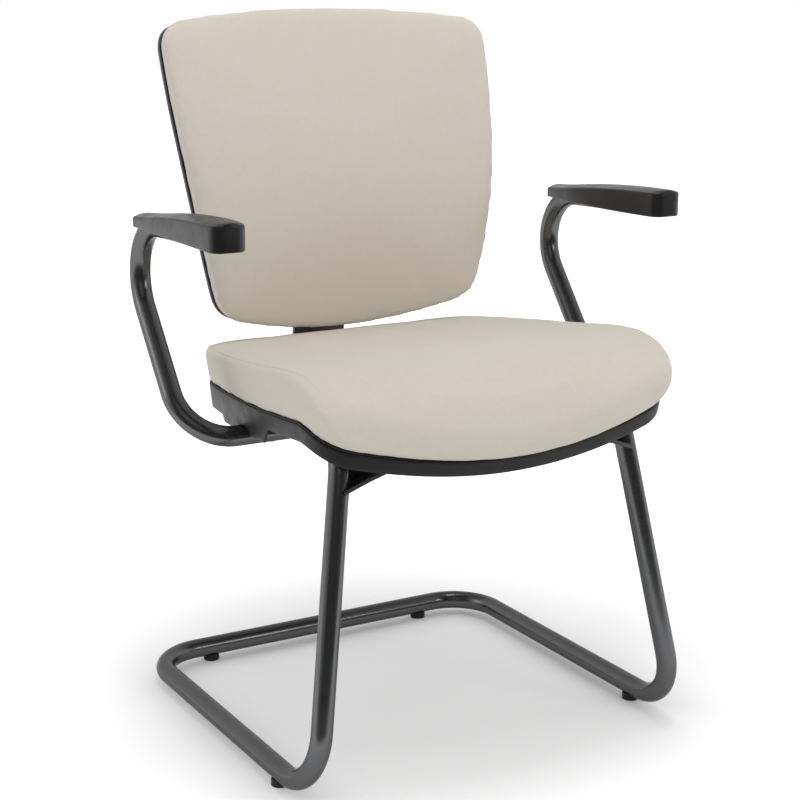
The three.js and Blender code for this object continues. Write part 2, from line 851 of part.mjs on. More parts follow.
// The back's surface: upright, then leaning, and bowed from side to side
const stepsOfBackEdges = [8, 9, 8, 9];
const backLine = new SideLine(
  -backFootSetback, backFootHeight, 90, backStraight, backLeanDegrees, backBendRadius,
);
const backMiddle = new THREE.Vector2(0, backHeight / 2);
const backOutline = roundedOutline(
  [
    new THREE.Vector2(-backFootHalfWidth, backCornerFoot),
    new THREE.Vector2(backFootHalfWidth, backCornerFoot),
    new THREE.Vector2(backHeadHalfWidth, backCornerHead),
    new THREE.Vector2(-backHeadHalfWidth, backCornerHead),
  ],
  [backFootBulge, backSideBulge, backHeadBulge, backSideBulge],
  [backFootCorner, backFootCorner, backHeadCorner, backHeadCorner],
  stepsOfBackEdges,
  stepsOfCorner,
);

// A place on the back shell's inner face, moved forward by a depth
function backPoint(place, forward) {
  const line = backLine.at(place.y);
  const bow = backFootBow + (backHeadBow - backFootBow) * place.y / backHeight;
  const acrossShare = place.x / backHeadHalfWidth;
  const reach = forward + bow * acrossShare * acrossShare;
  return point(place.x, line.y - reach * Math.sin(line.heading), line.z - reach * Math.cos(line.heading));
}

// The spine bar: under the seat, up behind the back
const spineDepth = touchGap + panFloor + touchGap + spineThickness / 2;

function spineRoute() {
  const front = underSeat(spineFrontEnd, spineDepth);
  const upright = -spineRearFace - spineThickness / 2;
  const slope = Math.tan(radians(seatRiseDegrees));
  const corner = point(0, upright, front.z - slope * (upright - front.y));
  const shellRear = backPoint(new THREE.Vector2(0, spineTopRise), -backShellWall);
  const top = point(0, shellRear.y + spineTopGap + spineThickness / 2, shellRear.z);
  return new BentRoute([front, corner, top], [spineBendRadius]);
}

function barAlong(route, width, thickness) {
  const shape = new THREE.Shape([
    new THREE.Vector2(-width / 2, -thickness / 2), new THREE.Vector2(width / 2, -thickness / 2),
    new THREE.Vector2(width / 2, thickness / 2), new THREE.Vector2(-width / 2, thickness / 2),
  ]);
  return along(route, shape);
}

function spineSpace() {
  return barAlong(spineRoute(), spineWidth + 2 * boltGap, spineThickness + 2 * touchGap);
}

function spineBoltPlaces() {
  return [frontCrossPlate, rearCrossPlate];
}

function underSeatNormal() {
  return underSeat(seatBoltFront, 0).sub(underSeat(seatBoltFront, tubeRadius)).normalize();
}

const spineUpright = spineRoute();

// Two rows of bolts, one near the spine's top and one near the bracket's foot
function backBolts() {
  const top = spineUpright.stations[spineUpright.steps];
  const heading = spineUpright.headings[spineUpright.steps];
  const normal = point(0, heading.z, -heading.y);
  const lowRow = (spineTopRise - bracketFoot - backBoltFromFoot) / heading.z;
  const places = [];
  for (const reach of [backBoltFromTop, lowRow]) {
    for (const side of [-1, 1]) {
      const at = top.clone().addScaledVector(heading, -reach).addScaledVector(normal, spineThickness / 2);
      at.x = side * backBoltHalfSpan;
      places.push({ at, normal });
    }
  }
  return places;
}

function makeSpine() {
  const plateHoles = spineBoltPlaces().map((setback) => rod(
    underSeat(setback, spineDepth + spineThickness), underSeat(setback, 0),
    boltDiameter / 2 + boltGap, sidesOfScrew,
  ));
  const backHoles = backBolts().map((bolt) => rod(
    bolt.at.clone().addScaledVector(bolt.normal, cutOverrun),
    bolt.at.clone().addScaledVector(bolt.normal, -spineThickness - cutOverrun),
    boltDiameter / 2 + boltGap, sidesOfScrew,
  ));
  const bar = barAlong(spineUpright, spineWidth, spineThickness);
  add('back_spine', cut(bar, [...plateHoles, ...backHoles]), framePaint);
}

// Cross plates between the rails, with the spine bolted on them
function makeCrossPlates() {
  const normal = underSeatNormal();
  const depth = spineDepth + spineThickness / 2 + touchGap + crossPlateThickness / 2;
  const rails = [-1, 1].map((side) => tubeSpace(
    new BentRoute([railPoint(side, railRearEnd), railPoint(side, seatStraight)], []), touchGap,
  ));
  const names = ['front_cross_plate', 'rear_cross_plate'];
  spineBoltPlaces().forEach((setback, i) => {
    const geometry = new THREE.BoxGeometry(2 * railHalfSpan, crossPlateWidth, crossPlateThickness);
    geometry.rotateX(-radians(seatRiseDegrees));
    geometry.translate(...underSeat(setback, depth).toArray());
    const hole = rod(
      underSeat(setback, depth + crossPlateThickness), underSeat(setback, depth - crossPlateThickness),
      boltDiameter / 2 + boltGap, sidesOfScrew,
    );
    add(names[i], cut(geometry, [...rails, hole]), framePaint);
    const under = underSeat(setback, depth + crossPlateThickness / 2 + touchGap);
    const bolt = headedBolt(under, normal, crossPlateThickness + spineThickness + touchGap);
    add(`spine_bolt_${i + 1}`, bolt, zincSteel);
  });
}

// The arched bar between the legs, under the seat front: an angle with its upright web behind
function archSlice(half, rise, bar, depth) {
  const upper = [];
  const lower = [];
  for (let step = 0; step <= stepsOfArch; step += 1) {
    const across = half * (2 * step / stepsOfArch - 1);
    const share = across / bar.half;
    const height = archEndHeight + archRise * (1 - share * share);
    upper.push(new THREE.Vector2(across, height + rise));
    lower.push(new THREE.Vector2(across, height));
  }
  const shape = new THREE.Shape([...lower, ...upper.reverse()]);
  const geometry = new THREE.ExtrudeGeometry(shape, { depth, bevelEnabled: false });
  geometry.rotateX(Math.PI / 2);
  geometry.translate(0, bar.rear, 0);
  return geometry;
}

function makeFrontArch() {
  const legReach = (archEndHeight - legFoot.z) / legHeading.z;
  const legAt = legFoot.clone().addScaledVector(legHeading, legReach);
  const bar = { half: legAt.x, rear: legAt.y - archForward + archWidth };
  const plate = archSlice(bar.half, archThickness, bar, archWidth);
  const web = archSlice(bar.half - tubeRadius, archWebHeight, bar, archThickness);
  const angle = geometryOf(solidOf(plate).add(solidOf(web)));
  add('leg_arch_bar', cut(angle, [tubeSpace(sledRoute(), touchGap)]), framePaint);
}

function makeSeatBolts() {
  const under = railDepth + tubeRadius + touchGap;
  seatBoltPlaces().forEach((place, i) => {
    const base = seatPoint(place, -under);
    const axis = seatPoint(place, 0).sub(base).normalize();
    const length = under + seatBoardThickness - teeNutFlange;
    add(`seat_bolt_${i + 1}`, headedBolt(base, axis, length), zincSteel);
    const inner = boltDiameter / 2 + touchGap;
    const foot = seatBoardThickness - teeNutBarrel;
    const shoulder = seatBoardThickness - teeNutFlange;
    const nut = [
      [inner, foot], [teeNutDiameter / 2, foot], [teeNutDiameter / 2, shoulder],
      [teeNutFlangeDiameter / 2, shoulder], [teeNutFlangeDiameter / 2, seatBoardThickness],
      [inner, seatBoardThickness], [inner, foot],
    ];
    add(`seat_tee_nut_${i + 1}`, turned(nut, seatPoint(place, 0), axis, sidesOfScrew), zincSteel);
  });
}

// The back's layers share these rings, so that they nest along its bow
const backRingShares = [0.35, 0.65, 0.92];
const backBoardShare = backRingShares.at(-1);

function backRing(outline, forward) {
  return outline.map((place) => backPoint(place, forward));
}

function backRings(forward) {
  return backRingShares.map((share) => backRing(scaledIn(backOutline, backMiddle, share), forward));
}

function backBoltRoom() {
  return backBolts().map((bolt) => rod(
    bolt.at, bolt.at.clone().addScaledVector(bolt.normal, -backFootSetback - cutOverrun),
    boltDiameter / 2 + boltGap, sidesOfScrew,
  ));
}

function makeBackShell() {
  const inner = drawnIn(backOutline, backMiddle, backShellWall);
  const rim = drawnIn(backOutline, backMiddle, backShellWall / 2);
  const body = ringBody(
    backPoint(backMiddle, -backShellWall),
    [
      ...backRings(-backShellWall), backRing(rim, -backShellWall), backRing(backOutline, -backShellWall / 2),
      backRing(backOutline, backShellLip), backRing(inner, backShellLip), backRing(inner, 0),
      ...backRings(0).reverse(),
    ],
    backPoint(backMiddle, 0),
  );
  add('back_shell', cut(body, backBoltRoom()), shellPlastic);
}

function makeBackBoard() {
  const front = touchGap + backBoardThickness;
  const body = ringBody(
    backPoint(backMiddle, touchGap), [...backRings(touchGap), ...backRings(front).reverse()],
    backPoint(backMiddle, front),
  );
  add('back_board', cut(body, backBoltRoom()), plywood);
}

function makeBackCushion() {
  const seam = drawnIn(backOutline, backMiddle, backShellWall + touchGap);
  const room = scaledIn(backOutline, backMiddle, backBoardShare + touchGap / backFootHalfWidth);
  const floor = backBoardThickness + 2 * touchGap;
  const neckTop = backShellLip + touchGap;
  const sides = sideRingShares.map(([bulgeShare, heightShare]) => {
    const ring = drawnIn(backOutline, backMiddle, -bulgeShare * backPadBulge);
    return backRing(ring, neckTop + heightShare * (backPadEdge - backShellLip));
  });
  const crown = crownRingShares.map((share) => {
    const ring = scaledIn(backOutline, backMiddle, share);
    return backRing(ring, backPadEdge + touchGap + backPadCrown * (1 - share * share));
  });
  const body = ringBody(
    backPoint(backMiddle, floor),
    [
      ...backRings(floor).slice(0, -1), backRing(room, floor), backRing(room, touchGap),
      backRing(seam, touchGap), backRing(seam, neckTop), ...sides, ...crown,
    ],
    backPoint(backMiddle, touchGap + backPadEdge + backPadCrown),
  );
  add('back_cushion', body, fabric);
}

// The wedge block between the spine bar and the back shell
const stepsOfBracketEdges = [4, 3, 4, 3];

function makeBracket() {
  const half = bracketWidth / 2;
  const head = spineTopRise - bracketFromTop;
  const outline = roundedOutline(
    [
      new THREE.Vector2(-half, bracketFoot), new THREE.Vector2(half, bracketFoot),
      new THREE.Vector2(half, head), new THREE.Vector2(-half, head),
    ],
    [0, 0, 0, 0],
    [bracketCorner, bracketCorner, bracketCorner, bracketCorner],
    stepsOfBracketEdges,
    stepsOfCorner,
  );
  const middle = new THREE.Vector2(0, (bracketFoot + head) / 2);
  const face = -backShellWall - bracketGap;
  const ahead = bracketRingShares.map((share) => backRing(scaledIn(outline, middle, share), face));
  const behind = ahead.map((ring) => ring.map(onSpineFace));
  const body = ringBody(
    backPoint(middle, face), [...ahead, ...behind.reverse()], onSpineFace(backPoint(middle, 0)),
  );
  add('back_bracket', cut(body, backBoltRoom()), blackPlastic);
}

// A point moved back along Y to just clear the front face of the spine bar
function onSpineFace(place) {
  const top = spineUpright.stations[spineUpright.steps];
  const heading = spineUpright.headings[spineUpright.steps];
  const lean = heading.y / heading.z;
  const y = top.y + lean * (place.z - top.z) - (spineThickness / 2 + touchGap) / heading.z;
  return point(place.x, y, place.z);
}

function makeBackBolts() {
  backBolts().forEach((bolt, i) => {
    const boardFace = backPoint(new THREE.Vector2(bolt.at.x, bolt.at.z - backFootHeight), backBoltBite);
    const axis = bolt.normal.clone().negate();
    const length = (bolt.at.y - boardFace.y) / bolt.normal.y;
    add(`back_bolt_${i + 1}`, headedBolt(bolt.at, axis, length), zincSteel);
  });
}

makeSeatBoard();
makeSeatCushion();
makeSeatPan();
makeSled();
makeGlides();
plug('rail_plug_left', railPoint(-1, railRearEnd), railHeading());
plug('rail_plug_right', railPoint(1, railRearEnd), railHeading());
makeArm('left', -1);
makeArm('right', 1);
makeSpine();
makeCrossPlates();
makeFrontArch();
makeSeatBolts();
makeBracket();
makeBackBolts();
makeBackShell();
makeBackBoard();
makeBackCushion();

// Stand the chair over the middle of its own footprint
const footprint = new THREE.Box3().setFromObject(chair);
const centre = footprint.getCenter(new THREE.Vector3());
for (const mesh of chair.children) {
  mesh.geometry.translate(0, -centre.y, 0);
}

export default chair;
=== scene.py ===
import json
from math import asin, ceil, copysign, cos, hypot, pi, radians, sin, sqrt, tan

import bmesh
import bpy
import numpy as np
from mathutils import Matrix, Quaternion, Vector
from mathutils.bvhtree import BVHTree


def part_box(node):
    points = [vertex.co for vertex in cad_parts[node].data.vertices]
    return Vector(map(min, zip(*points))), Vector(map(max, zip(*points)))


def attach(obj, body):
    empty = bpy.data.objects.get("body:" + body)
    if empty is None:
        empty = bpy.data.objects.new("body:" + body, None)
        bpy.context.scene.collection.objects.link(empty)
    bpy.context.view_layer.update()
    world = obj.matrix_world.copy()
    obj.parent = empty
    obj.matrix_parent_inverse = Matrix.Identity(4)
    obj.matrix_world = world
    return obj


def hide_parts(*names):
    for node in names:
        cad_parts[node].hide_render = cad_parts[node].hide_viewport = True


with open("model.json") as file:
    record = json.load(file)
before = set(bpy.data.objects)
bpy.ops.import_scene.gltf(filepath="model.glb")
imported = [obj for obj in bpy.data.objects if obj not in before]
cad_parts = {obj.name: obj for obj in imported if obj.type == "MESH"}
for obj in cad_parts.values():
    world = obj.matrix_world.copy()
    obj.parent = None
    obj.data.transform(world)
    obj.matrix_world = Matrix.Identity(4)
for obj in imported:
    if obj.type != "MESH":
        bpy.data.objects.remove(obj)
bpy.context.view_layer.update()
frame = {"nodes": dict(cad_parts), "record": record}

# Sled base visitor chair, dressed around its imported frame. Metres, +Z up, the chair faces -Y.
SCENE = bpy.context.scene
MM = 0.001
UP = Vector((0, 0, 1))

# Camera, as the photograph was taken
CAMERA_AZIMUTH = radians(-30.035)
CAMERA_ELEVATION = radians(13.739)
CAMERA_ROLL = radians(0.146)
CAMERA_FROM_REAR_BAR = Vector((-1.0760, -2.0913, 0.9191))
CAMERA_LENS = 79.62
CAMERA_SENSOR = 36
CAMERA_CLIP_END = 100

# Clearance and tube
TOUCH_GAP = 0.3 * MM
TUBE_RADIUS = 12.5 * MM
TUBE_BORE = 10.5 * MM
TUBE_SIDES = 40
BEND_STEP = radians(5)

# Share of an edge's rounding at which its middle ring lies
EDGE_SOFTENING = 0.3

# Floor frame
FLOOR_CLEARANCE = 6.5 * MM
RUNNER_HALF_SPAN = 252.2 * MM
SLED_DEPTH = 485.6 * MM
REAR_BEND_RADIUS = 65.8 * MM
FRONT_BEND_RADIUS = 66.8 * MM
LEG_TOP_HALF_SPAN = 190.3 * MM
LEG_TOP_SETBACK = 56.7 * MM
LEG_TOP_HEIGHT = 400 * MM
RAIL_BEND_RADIUS = 50.3 * MM
RAIL_REAR_END = 136 * MM
FRAME_HEIGHT = FLOOR_CLEARANCE + TUBE_RADIUS

# The rear floor bar's centre line, from which the setbacks are measured
REAR_BAR_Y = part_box("sled_tube")[1].y - TUBE_RADIUS

# Seat
SEAT_REAR_REACH = 70.3 * MM
SEAT_REAR_HEIGHT = 410.1 * MM
SEAT_RISE = radians(4.12)
SEAT_STRAIGHT = 345.2 * MM
WATERFALL_RADIUS = 72.2 * MM
WATERFALL_TURN = radians(90)
SEAT_REAR_HALF_WIDTH = 194.4 * MM
SEAT_FRONT_HALF_WIDTH = 238.3 * MM
SEAT_FRONT_CORNER = 400.7 * MM
SEAT_BULGES = [1.7 * MM, 14.5 * MM, 42.9 * MM, 14.5 * MM]
SEAT_SETBACKS = [39.9 * MM, 39.9 * MM, 38.5 * MM, 38.5 * MM]
SEAT_EDGE_STEPS = [40, 110, 60, 110]
CORNER_STEPS = 14
SEAT_PAD_REAR = 45.5 * MM
SEAT_PAD_FRONT = 60.6 * MM
SEAT_PAD_CROWN = 2.9 * MM
SEAT_PAD_NOSE = 14.1 * MM
SEAT_NOSE_LENGTH = 114.6 * MM
SEAT_NOSE_FULLNESS = 2.21
SEAT_PAD_REAR_BULGE = 6.2 * MM
SEAT_PAD_FRONT_BULGE = 5.5 * MM
SEAM_GROOVE = 1.4 * MM
SEAM_INSET = 1.2 * MM
# Top height, inset and depth of the painted shade band in the seat's and back's joints
SEAT_SEAM_SHADE_TOP = 2 * MM
SEAM_SHADE_INSET = 0.7 * MM
SEAM_SHADE_DEPTH = 3 * MM
WELT_RADIUS = 1.1 * MM
WELT_END_RADIUS = 0.1 * MM
WELT_SINK_SHARE = 0.4
WELT_FADE_SHARE = 0.06
WELT_SIDES = 10
WELT_SIDE_RING = 5
WELT_SIDE_SHARE = 0.3
WELT_TURN_START = 300 * MM
WELT_FRONT_END = 405 * MM
PAN_FLOOR = 3 * MM
PAN_FLOOR_SHARES = [0.3, 0.6, 0.86, 0.93]
PAN_WALL = 3 * MM
PAN_FRONT_DROP = 18.2 * MM
PAN_CORNER_DROP = 20.1 * MM
PAN_SIDE_DROP = 38 * MM
PAN_REAR_DROP = 30 * MM
PAN_ARCH_START = 322 * MM
PAN_STEP_START = 158.3 * MM
PAN_STEP_LENGTH = 14 * MM
PAN_DRAFT = 3 * MM
PAN_NOTCH_REACH = 22 * MM
PAN_NOTCH_GAP = 0.8 * MM
PAN_EDGE_RADIUS = 1 * MM

# Back
BACK_FOOT_HEIGHT = 462.4 * MM
BACK_FOOT_SETBACK = 54.1 * MM
BACK_STRAIGHT = 77.5 * MM
BACK_BEND_RADIUS = 659.7 * MM
BACK_LEAN = radians(14.77)
BACK_HEIGHT = 403.2 * MM
BACK_CORNER_FOOT = 32.4 * MM
BACK_CORNER_HEAD = 382.1 * MM
BACK_FOOT_HALF_WIDTH = 181.2 * MM
BACK_HEAD_HALF_WIDTH = 226.5 * MM
BACK_BULGES = [29.8 * MM, 12.7 * MM, 22.2 * MM, 12.7 * MM]
BACK_SETBACKS = [25.5 * MM, 25.5 * MM, 30.3 * MM, 30.3 * MM]
BACK_EDGE_STEPS = [40, 50, 44, 50]
BACK_FOOT_BOW = 46.8 * MM
BACK_HEAD_BOW = 25.2 * MM
BACK_SHELL_WALL = 4 * MM
BACK_SHELL_LIP = 2 * MM
BACK_SHELL_SHARES = [0.2, 0.45, 0.7, 0.88, 0.95]
BACK_LIP_EDGE = 0.8 * MM
BACK_GROOVE = 4.5 * MM
BACK_RIM = 2.2 * MM
BACK_RIM_RADIUS = 2 * MM
BACK_PAD_EDGE = 29 * MM
BACK_PAD_CROWN = 15 * MM
BACK_PAD_BULGE = 2.3 * MM

# Arms
ARM_HALF_SPAN = 296.8 * MM
ARM_HEAD_SETBACK = 56.3 * MM
ARM_HEAD_HEIGHT = 621.2 * MM
ARM_HEAD_RADIUS = 64 * MM
ARM_PAD_RISE = radians(2.2)
ARM_TIP_SETBACK = 350 * MM
ARM_FOOT_SETBACK = 246.5 * MM
ARM_FOOT_RADIUS = 64.4 * MM
ARM_INNER_END = 150 * MM
PAD_REAR_END = 139.5 * MM
PAD_FRONT_END = 380.1 * MM
PAD_WIDTHS = [34.2 * MM, 48.5 * MM, 41.1 * MM]
PAD_RISES = [10.3 * MM, 25.6 * MM, 30.3 * MM]
PAD_INSET = 1.4 * MM
PAD_LEAN = 4.7 * MM
PAD_CROWN = 3 * MM
PAD_REAR_LIFT = 3 * MM
PAD_REAR_LIFT_LENGTH = 60 * MM
PAD_FOOT_RISE = 0.6 * MM
PAD_TOP_EDGE_RADIUS = 3.2 * MM
PAD_FOOT_EDGE_RADIUS = 1.6 * MM
PAD_REAR_PLAN_RADIUS = 3.5 * MM
PAD_FRONT_PLAN_RADIUS = 14 * MM
PAD_END_EDGE_RADIUS = 1.6 * MM
PLUG_FLANGE = 2 * MM

# Flat steel
SPINE_WIDTH = 76.2 * MM
SPINE_THICKNESS = 6 * MM
SPINE_EDGE_RADIUS = 1.2 * MM
SPINE_FRONT_END = 330 * MM
SPINE_BEND_RADIUS = 32 * MM
SPINE_REAR_FACE = 1.5 * MM
SPINE_TOP_RISE = 167.6 * MM
SPINE_TOP_GAP = 10 * MM

# Small parts
GLIDE_RADIUS = 10.5 * MM
GLIDE_HUG = 3 * MM
GLIDE_CHAMFER = 1 * MM
GLIDE_EDGE = 0.4 * MM
GLIDE_TOP_SHARES = [1, 0.97, 0.6, 0.25]
GLIDE_RECESS_SHARE = 0.4
GLIDE_SCREW_HEAD = 4 * MM
SOCKET_SIDES = 24
BOLT_HEAD_RADIUS = 5.5 * MM
BOLT_HEAD_HEIGHT = 3.5 * MM
BOLT_EDGE_RADIUS = 1.2 * MM
BOLT_SHANK_RADIUS = 3 * MM
BOLT_SOCKET_RADIUS = 2 * MM
BOLT_SOCKET_DEPTH = 2.2 * MM

RAIL_DEPTH = TOUCH_GAP + PAN_FLOOR + TOUCH_GAP + TUBE_RADIUS
SPINE_DEPTH = TOUCH_GAP + PAN_FLOOR + TOUCH_GAP + SPINE_THICKNESS / 2

# Cushion simulation
CUSHION_VOXEL = 5 * MM
CUSHION_SMOOTH_SHARE = 0.5
CUSHION_SMOOTH_STEPS = 3
CUSHION_FRAMES = 20
SEAT_CUSHION_START = 0.1 * MM
SEAT_CUSHION_CAP = 1.5 * MM
BACK_CUSHION_START = -1.7 * MM
BACK_CUSHION_CAP = 1.2 * MM
NO_LENGTH = 1e-9
CLOTH_SETTINGS = {
    "quality": 6, "mass": 0.3, "tension_stiffness": 25, "compression_stiffness": 25,
    "shear_stiffness": 15, "bending_stiffness": 2, "use_pressure": True, "uniform_pressure_force": 4,
}


def place(x, y, z):
    """A point in the shared frame, given from the rear floor bar's centre line."""
    return Vector((x, y + REAR_BAR_Y, z))


# Camera, light and stage
def add_camera():
    azimuth, elevation = CAMERA_AZIMUTH, CAMERA_ELEVATION
    right = Vector((cos(azimuth), sin(azimuth), 0))
    back = Vector((sin(azimuth) * cos(elevation), -cos(azimuth) * cos(elevation), sin(elevation)))
    above = back.cross(right)
    rolled = right * cos(CAMERA_ROLL) + above * sin(CAMERA_ROLL)
    matrix = Matrix((rolled, back.cross(rolled), back)).transposed().to_4x4()
    matrix.translation = place(*CAMERA_FROM_REAR_BAR)
    data = bpy.data.cameras.new("camera")
    data.lens = CAMERA_LENS
    data.sensor_width = CAMERA_SENSOR
    data.clip_end = CAMERA_CLIP_END
    camera = bpy.data.objects.new("camera", data)
    camera.matrix_world = matrix
    SCENE.collection.objects.link(camera)
    SCENE.camera = camera
    SCENE.view_settings.view_transform = "Standard"


WHITE = (1, 1, 1, 1)
BLACK = (0, 0, 0, 1)


class Nodes:
    """Adds and links the nodes of one tree."""

    def __init__(self, tree):
        self.tree = tree
        tree.nodes.clear()

    def add(self, kind, inputs=(), **settings):
        node = self.tree.nodes.new("ShaderNode" + kind)
        for name, value in settings.items():
            setattr(node, name, value)
        for socket, value in dict(inputs).items():
            if isinstance(value, bpy.types.NodeSocket):
                self.tree.links.new(value, node.inputs[socket])
            else:
                node.inputs[socket].default_value = value
        return node

    def math(self, operation, first, second=0.0):
        return self.add("Math", {0: first, 1: second}, operation=operation).outputs[0]

    def product(self, first, second):
        return self.math("MULTIPLY", first, second)

    def total(self, first, *others):
        for other in others:
            first = self.math("ADD", first, other)
        return first

    def vector_math(self, operation, first, second):
        node = self.add("VectorMath", {0: first, 1: second}, operation=operation)
        return node.outputs["Value"]

    def ramp(self, factor, low, high, low_value=0.0, high_value=1.0):
        limits = {"From Min": low, "From Max": high, "To Min": low_value, "To Max": high_value}
        node = self.add("MapRange", {"Value": factor, **limits}, interpolation_type="SMOOTHSTEP")
        return node.outputs["Result"]

    def mix_color(self, factor, first, second):
        colors = {"Factor": factor, 6: (*first, 1), 7: (*second, 1)}
        return self.add("Mix", colors, data_type="RGBA").outputs[2]

    def mix_shader(self, factor, first, second):
        return self.add("MixShader", {0: factor, 1: first.outputs[0], 2: second.outputs[0]})


# Light strengths, and the spans of height or direction over which they change
WORLD_TOP = 0.75
WORLD_SIDE = 0.94
WORLD_BEHIND_CAMERA = 0.06
WORLD_CEILING = 0.3
WORLD_TOP_SPAN = (0.1, 0.9)
WORLD_WALL_SPAN = (0.25, 0.8)
WORLD_CEILING_SPAN = (0.55, 0.85)
WORLD_CAMERA_SIDE = Vector((-0.35, -0.93, 0.1)).normalized()


def add_world():
    """A studio that is white in view. Reflections also show a dim wall and a dark ceiling."""
    world = bpy.data.worlds.new("studio")
    SCENE.world = world
    world.use_nodes = True
    nodes = Nodes(world.node_tree)
    direction = nodes.add("TexCoord").outputs["Generated"]
    height = nodes.add("SeparateXYZ", {0: direction}).outputs["Z"]
    facing = nodes.vector_math("DOT_PRODUCT", direction, WORLD_CAMERA_SIDE)
    overhead = nodes.ramp(height, *WORLD_TOP_SPAN, WORLD_SIDE, WORLD_TOP)
    wall = nodes.ramp(facing, *WORLD_WALL_SPAN, 0.0, WORLD_SIDE - WORLD_BEHIND_CAMERA)
    ceiling = nodes.ramp(height, *WORLD_CEILING_SPAN, 0.0, WORLD_TOP - WORLD_CEILING)
    rays = nodes.add("LightPath").outputs
    dimming = nodes.product(nodes.math("MAXIMUM", wall, ceiling), rays["Is Glossy Ray"])
    strength = nodes.math("SUBTRACT", overhead, dimming)
    light = nodes.add("Background", {"Color": WHITE, "Strength": strength})
    seen = nodes.add("Background", {"Color": WHITE, "Strength": 1.0})
    mixed = nodes.mix_shader(rays["Is Camera Ray"], light, seen)
    nodes.add("OutputWorld", {0: mixed.outputs[0]})


# Name, place, target, diameter and power
LAMPS = [
    ("overhead", (0.1, -0.1, 2.6), (0, 0, 0.3), 0.9, 13),
    ("front", (-1.2, -1.9, 1.6), (0, 0, 0.5), 1.8, 3),
    ("left", (-2.2, 0.9, 1.1), (0, 0, 0.5), 1.2, 5),
    ("right", (0.95, -1.85, 1.05), (0, 0, 0.4), 0.5, 4),
]


def add_lamps():
    for name, location, target, size, power in LAMPS:
        data = bpy.data.lights.new(name, "AREA")
        data.shape = "DISK"
        data.size = size
        data.energy = power
        lamp = bpy.data.objects.new(name, data)
        lamp.location = location
        lamp.rotation_mode = "QUATERNION"
        lamp.rotation_quaternion = (Vector(target) - Vector(location)).to_track_quat("-Z", "Y")
        SCENE.collection.objects.link(lamp)


FLOOR_HALF_SIZE = 12
FLOOR_COLOR = (0.93, 0.93, 0.93)
# Painted glow on the floor: emission strength near and far from the shadow's middle, and the span over
# which it grows
FLOOR_GLOW_NEAR = 0.05
FLOOR_GLOW_FAR = 0.55
FLOOR_GLOW_FADE_START = 0.2
FLOOR_GLOW_FADE_END = 0.9
FLOOR_SHADOW_MIDDLE = Vector((0.08, 0.06, 0))
# Painted dark reflection: the floor's colour in glossy rays on the camera's side, and where it sets in
FLOOR_DARK_REFLECTION_COLOR = (0.06, 0.06, 0.06)
FLOOR_DARK_REFLECTION_START = 0.55
FLOOR_DARK_REFLECTION_END = 1


def add_floor():
    """A pale floor that keeps the shadow, with a painted glow that grows from the shadow's middle outwards
    to white, and a painted dark reflection on the camera's side in glossy rays.
    """
    bpy.ops.mesh.primitive_plane_add(size=2 * FLOOR_HALF_SIZE, location=(0, 0, 0))
    floor = bpy.context.active_object
    floor.name = "floor"
    material = bpy.data.materials.new("pale_floor")
    material.use_nodes = True
    nodes = Nodes(material.node_tree)
    rays = nodes.add("LightPath").outputs
    where = nodes.add("TexCoord").outputs["Object"]
    # Painted reflection: glossy rays see the floor near-black on the camera's side, which puts a dark band
    # in the tubes
    ahead = nodes.ramp(nodes.vector_math("DOT_PRODUCT", where, WORLD_CAMERA_SIDE),
                       FLOOR_DARK_REFLECTION_START, FLOOR_DARK_REFLECTION_END)
    shaded = nodes.product(ahead, rays["Is Glossy Ray"])
    color = nodes.mix_color(shaded, FLOOR_COLOR, FLOOR_DARK_REFLECTION_COLOR)
    matte = nodes.add("BsdfDiffuse", {"Color": color})
    # Painted glow: emission seen by the camera and in reflections, weak round the shadow's middle and
    # growing outwards, so the floor near the chair stays darker
    strength = nodes.ramp(nodes.vector_math("DISTANCE", where, FLOOR_SHADOW_MIDDLE),
                          FLOOR_GLOW_FADE_START, FLOOR_GLOW_FADE_END, FLOOR_GLOW_NEAR, FLOOR_GLOW_FAR)
    lift = nodes.add("Emission", {"Color": WHITE, "Strength": strength})
    dark = nodes.add("Emission", {"Color": BLACK, "Strength": 0.0})
    white_ray = nodes.math("SUBTRACT", rays["Is Glossy Ray"], shaded)
    seen = nodes.mix_shader(nodes.math("MAXIMUM", rays["Is Camera Ray"], white_ray), dark, lift)
    both = nodes.add("AddShader", {0: matte.outputs[0], 1: seen.outputs[0]})
    nodes.add("OutputMaterial", {0: both.outputs[0]})
    floor.data.materials.append(material)


# Materials
PAINT_COLOR = (0.115, 0.116, 0.119)
PAINT_TONES = [(0.11, 0.111, 0.114), (0.12, 0.121, 0.124)]
BLACK_TONES = [(0.009, 0.0092, 0.0095), (0.011, 0.0112, 0.0115)]
PAD_TONES = [(0.009, 0.009, 0.0092), (0.011, 0.011, 0.0112)]
SHELL_TONES = [(0.07, 0.0705, 0.073), (0.08, 0.0805, 0.083)]
FABRIC_TONES = [(0.565, 0.515, 0.445), (0.6, 0.55, 0.48)]
PLYWOOD_COLOR = (0.58, 0.41, 0.23)
PLYWOOD_TONES = [(0.5, 0.33, 0.17), (0.66, 0.49, 0.3)]
PLYWOOD_GRAIN = (60, 3, 60)
ZINC_COLOR = (0.5, 0.51, 0.53)
ZINC_TONES = [(0.42, 0.43, 0.44), (0.6, 0.61, 0.62)]
# Painted shade: near-black colour of the bands in the joints under the covers, standing in for the shadow
# in the gap there
SEAM_SHADE_COLOR = (0.006, 0.006, 0.006)
SEAM_SHADE_TONES = [(0.004, 0.004, 0.004), (0.008, 0.008, 0.008)]
GRAIN_FINER = 2.6
GRAIN_FINE_SHARE = 0.4
PLASTIC_WEAR = 0.05
THREAD_PITCH = 0.9 * MM
SLUB_SHARE = 0.5
FIBRE_SHARE = 0.3
CLOUD_SHARE = 0.2
WEAVE_SHARE = 0.12
FIBRE_HEIGHT = 0.8


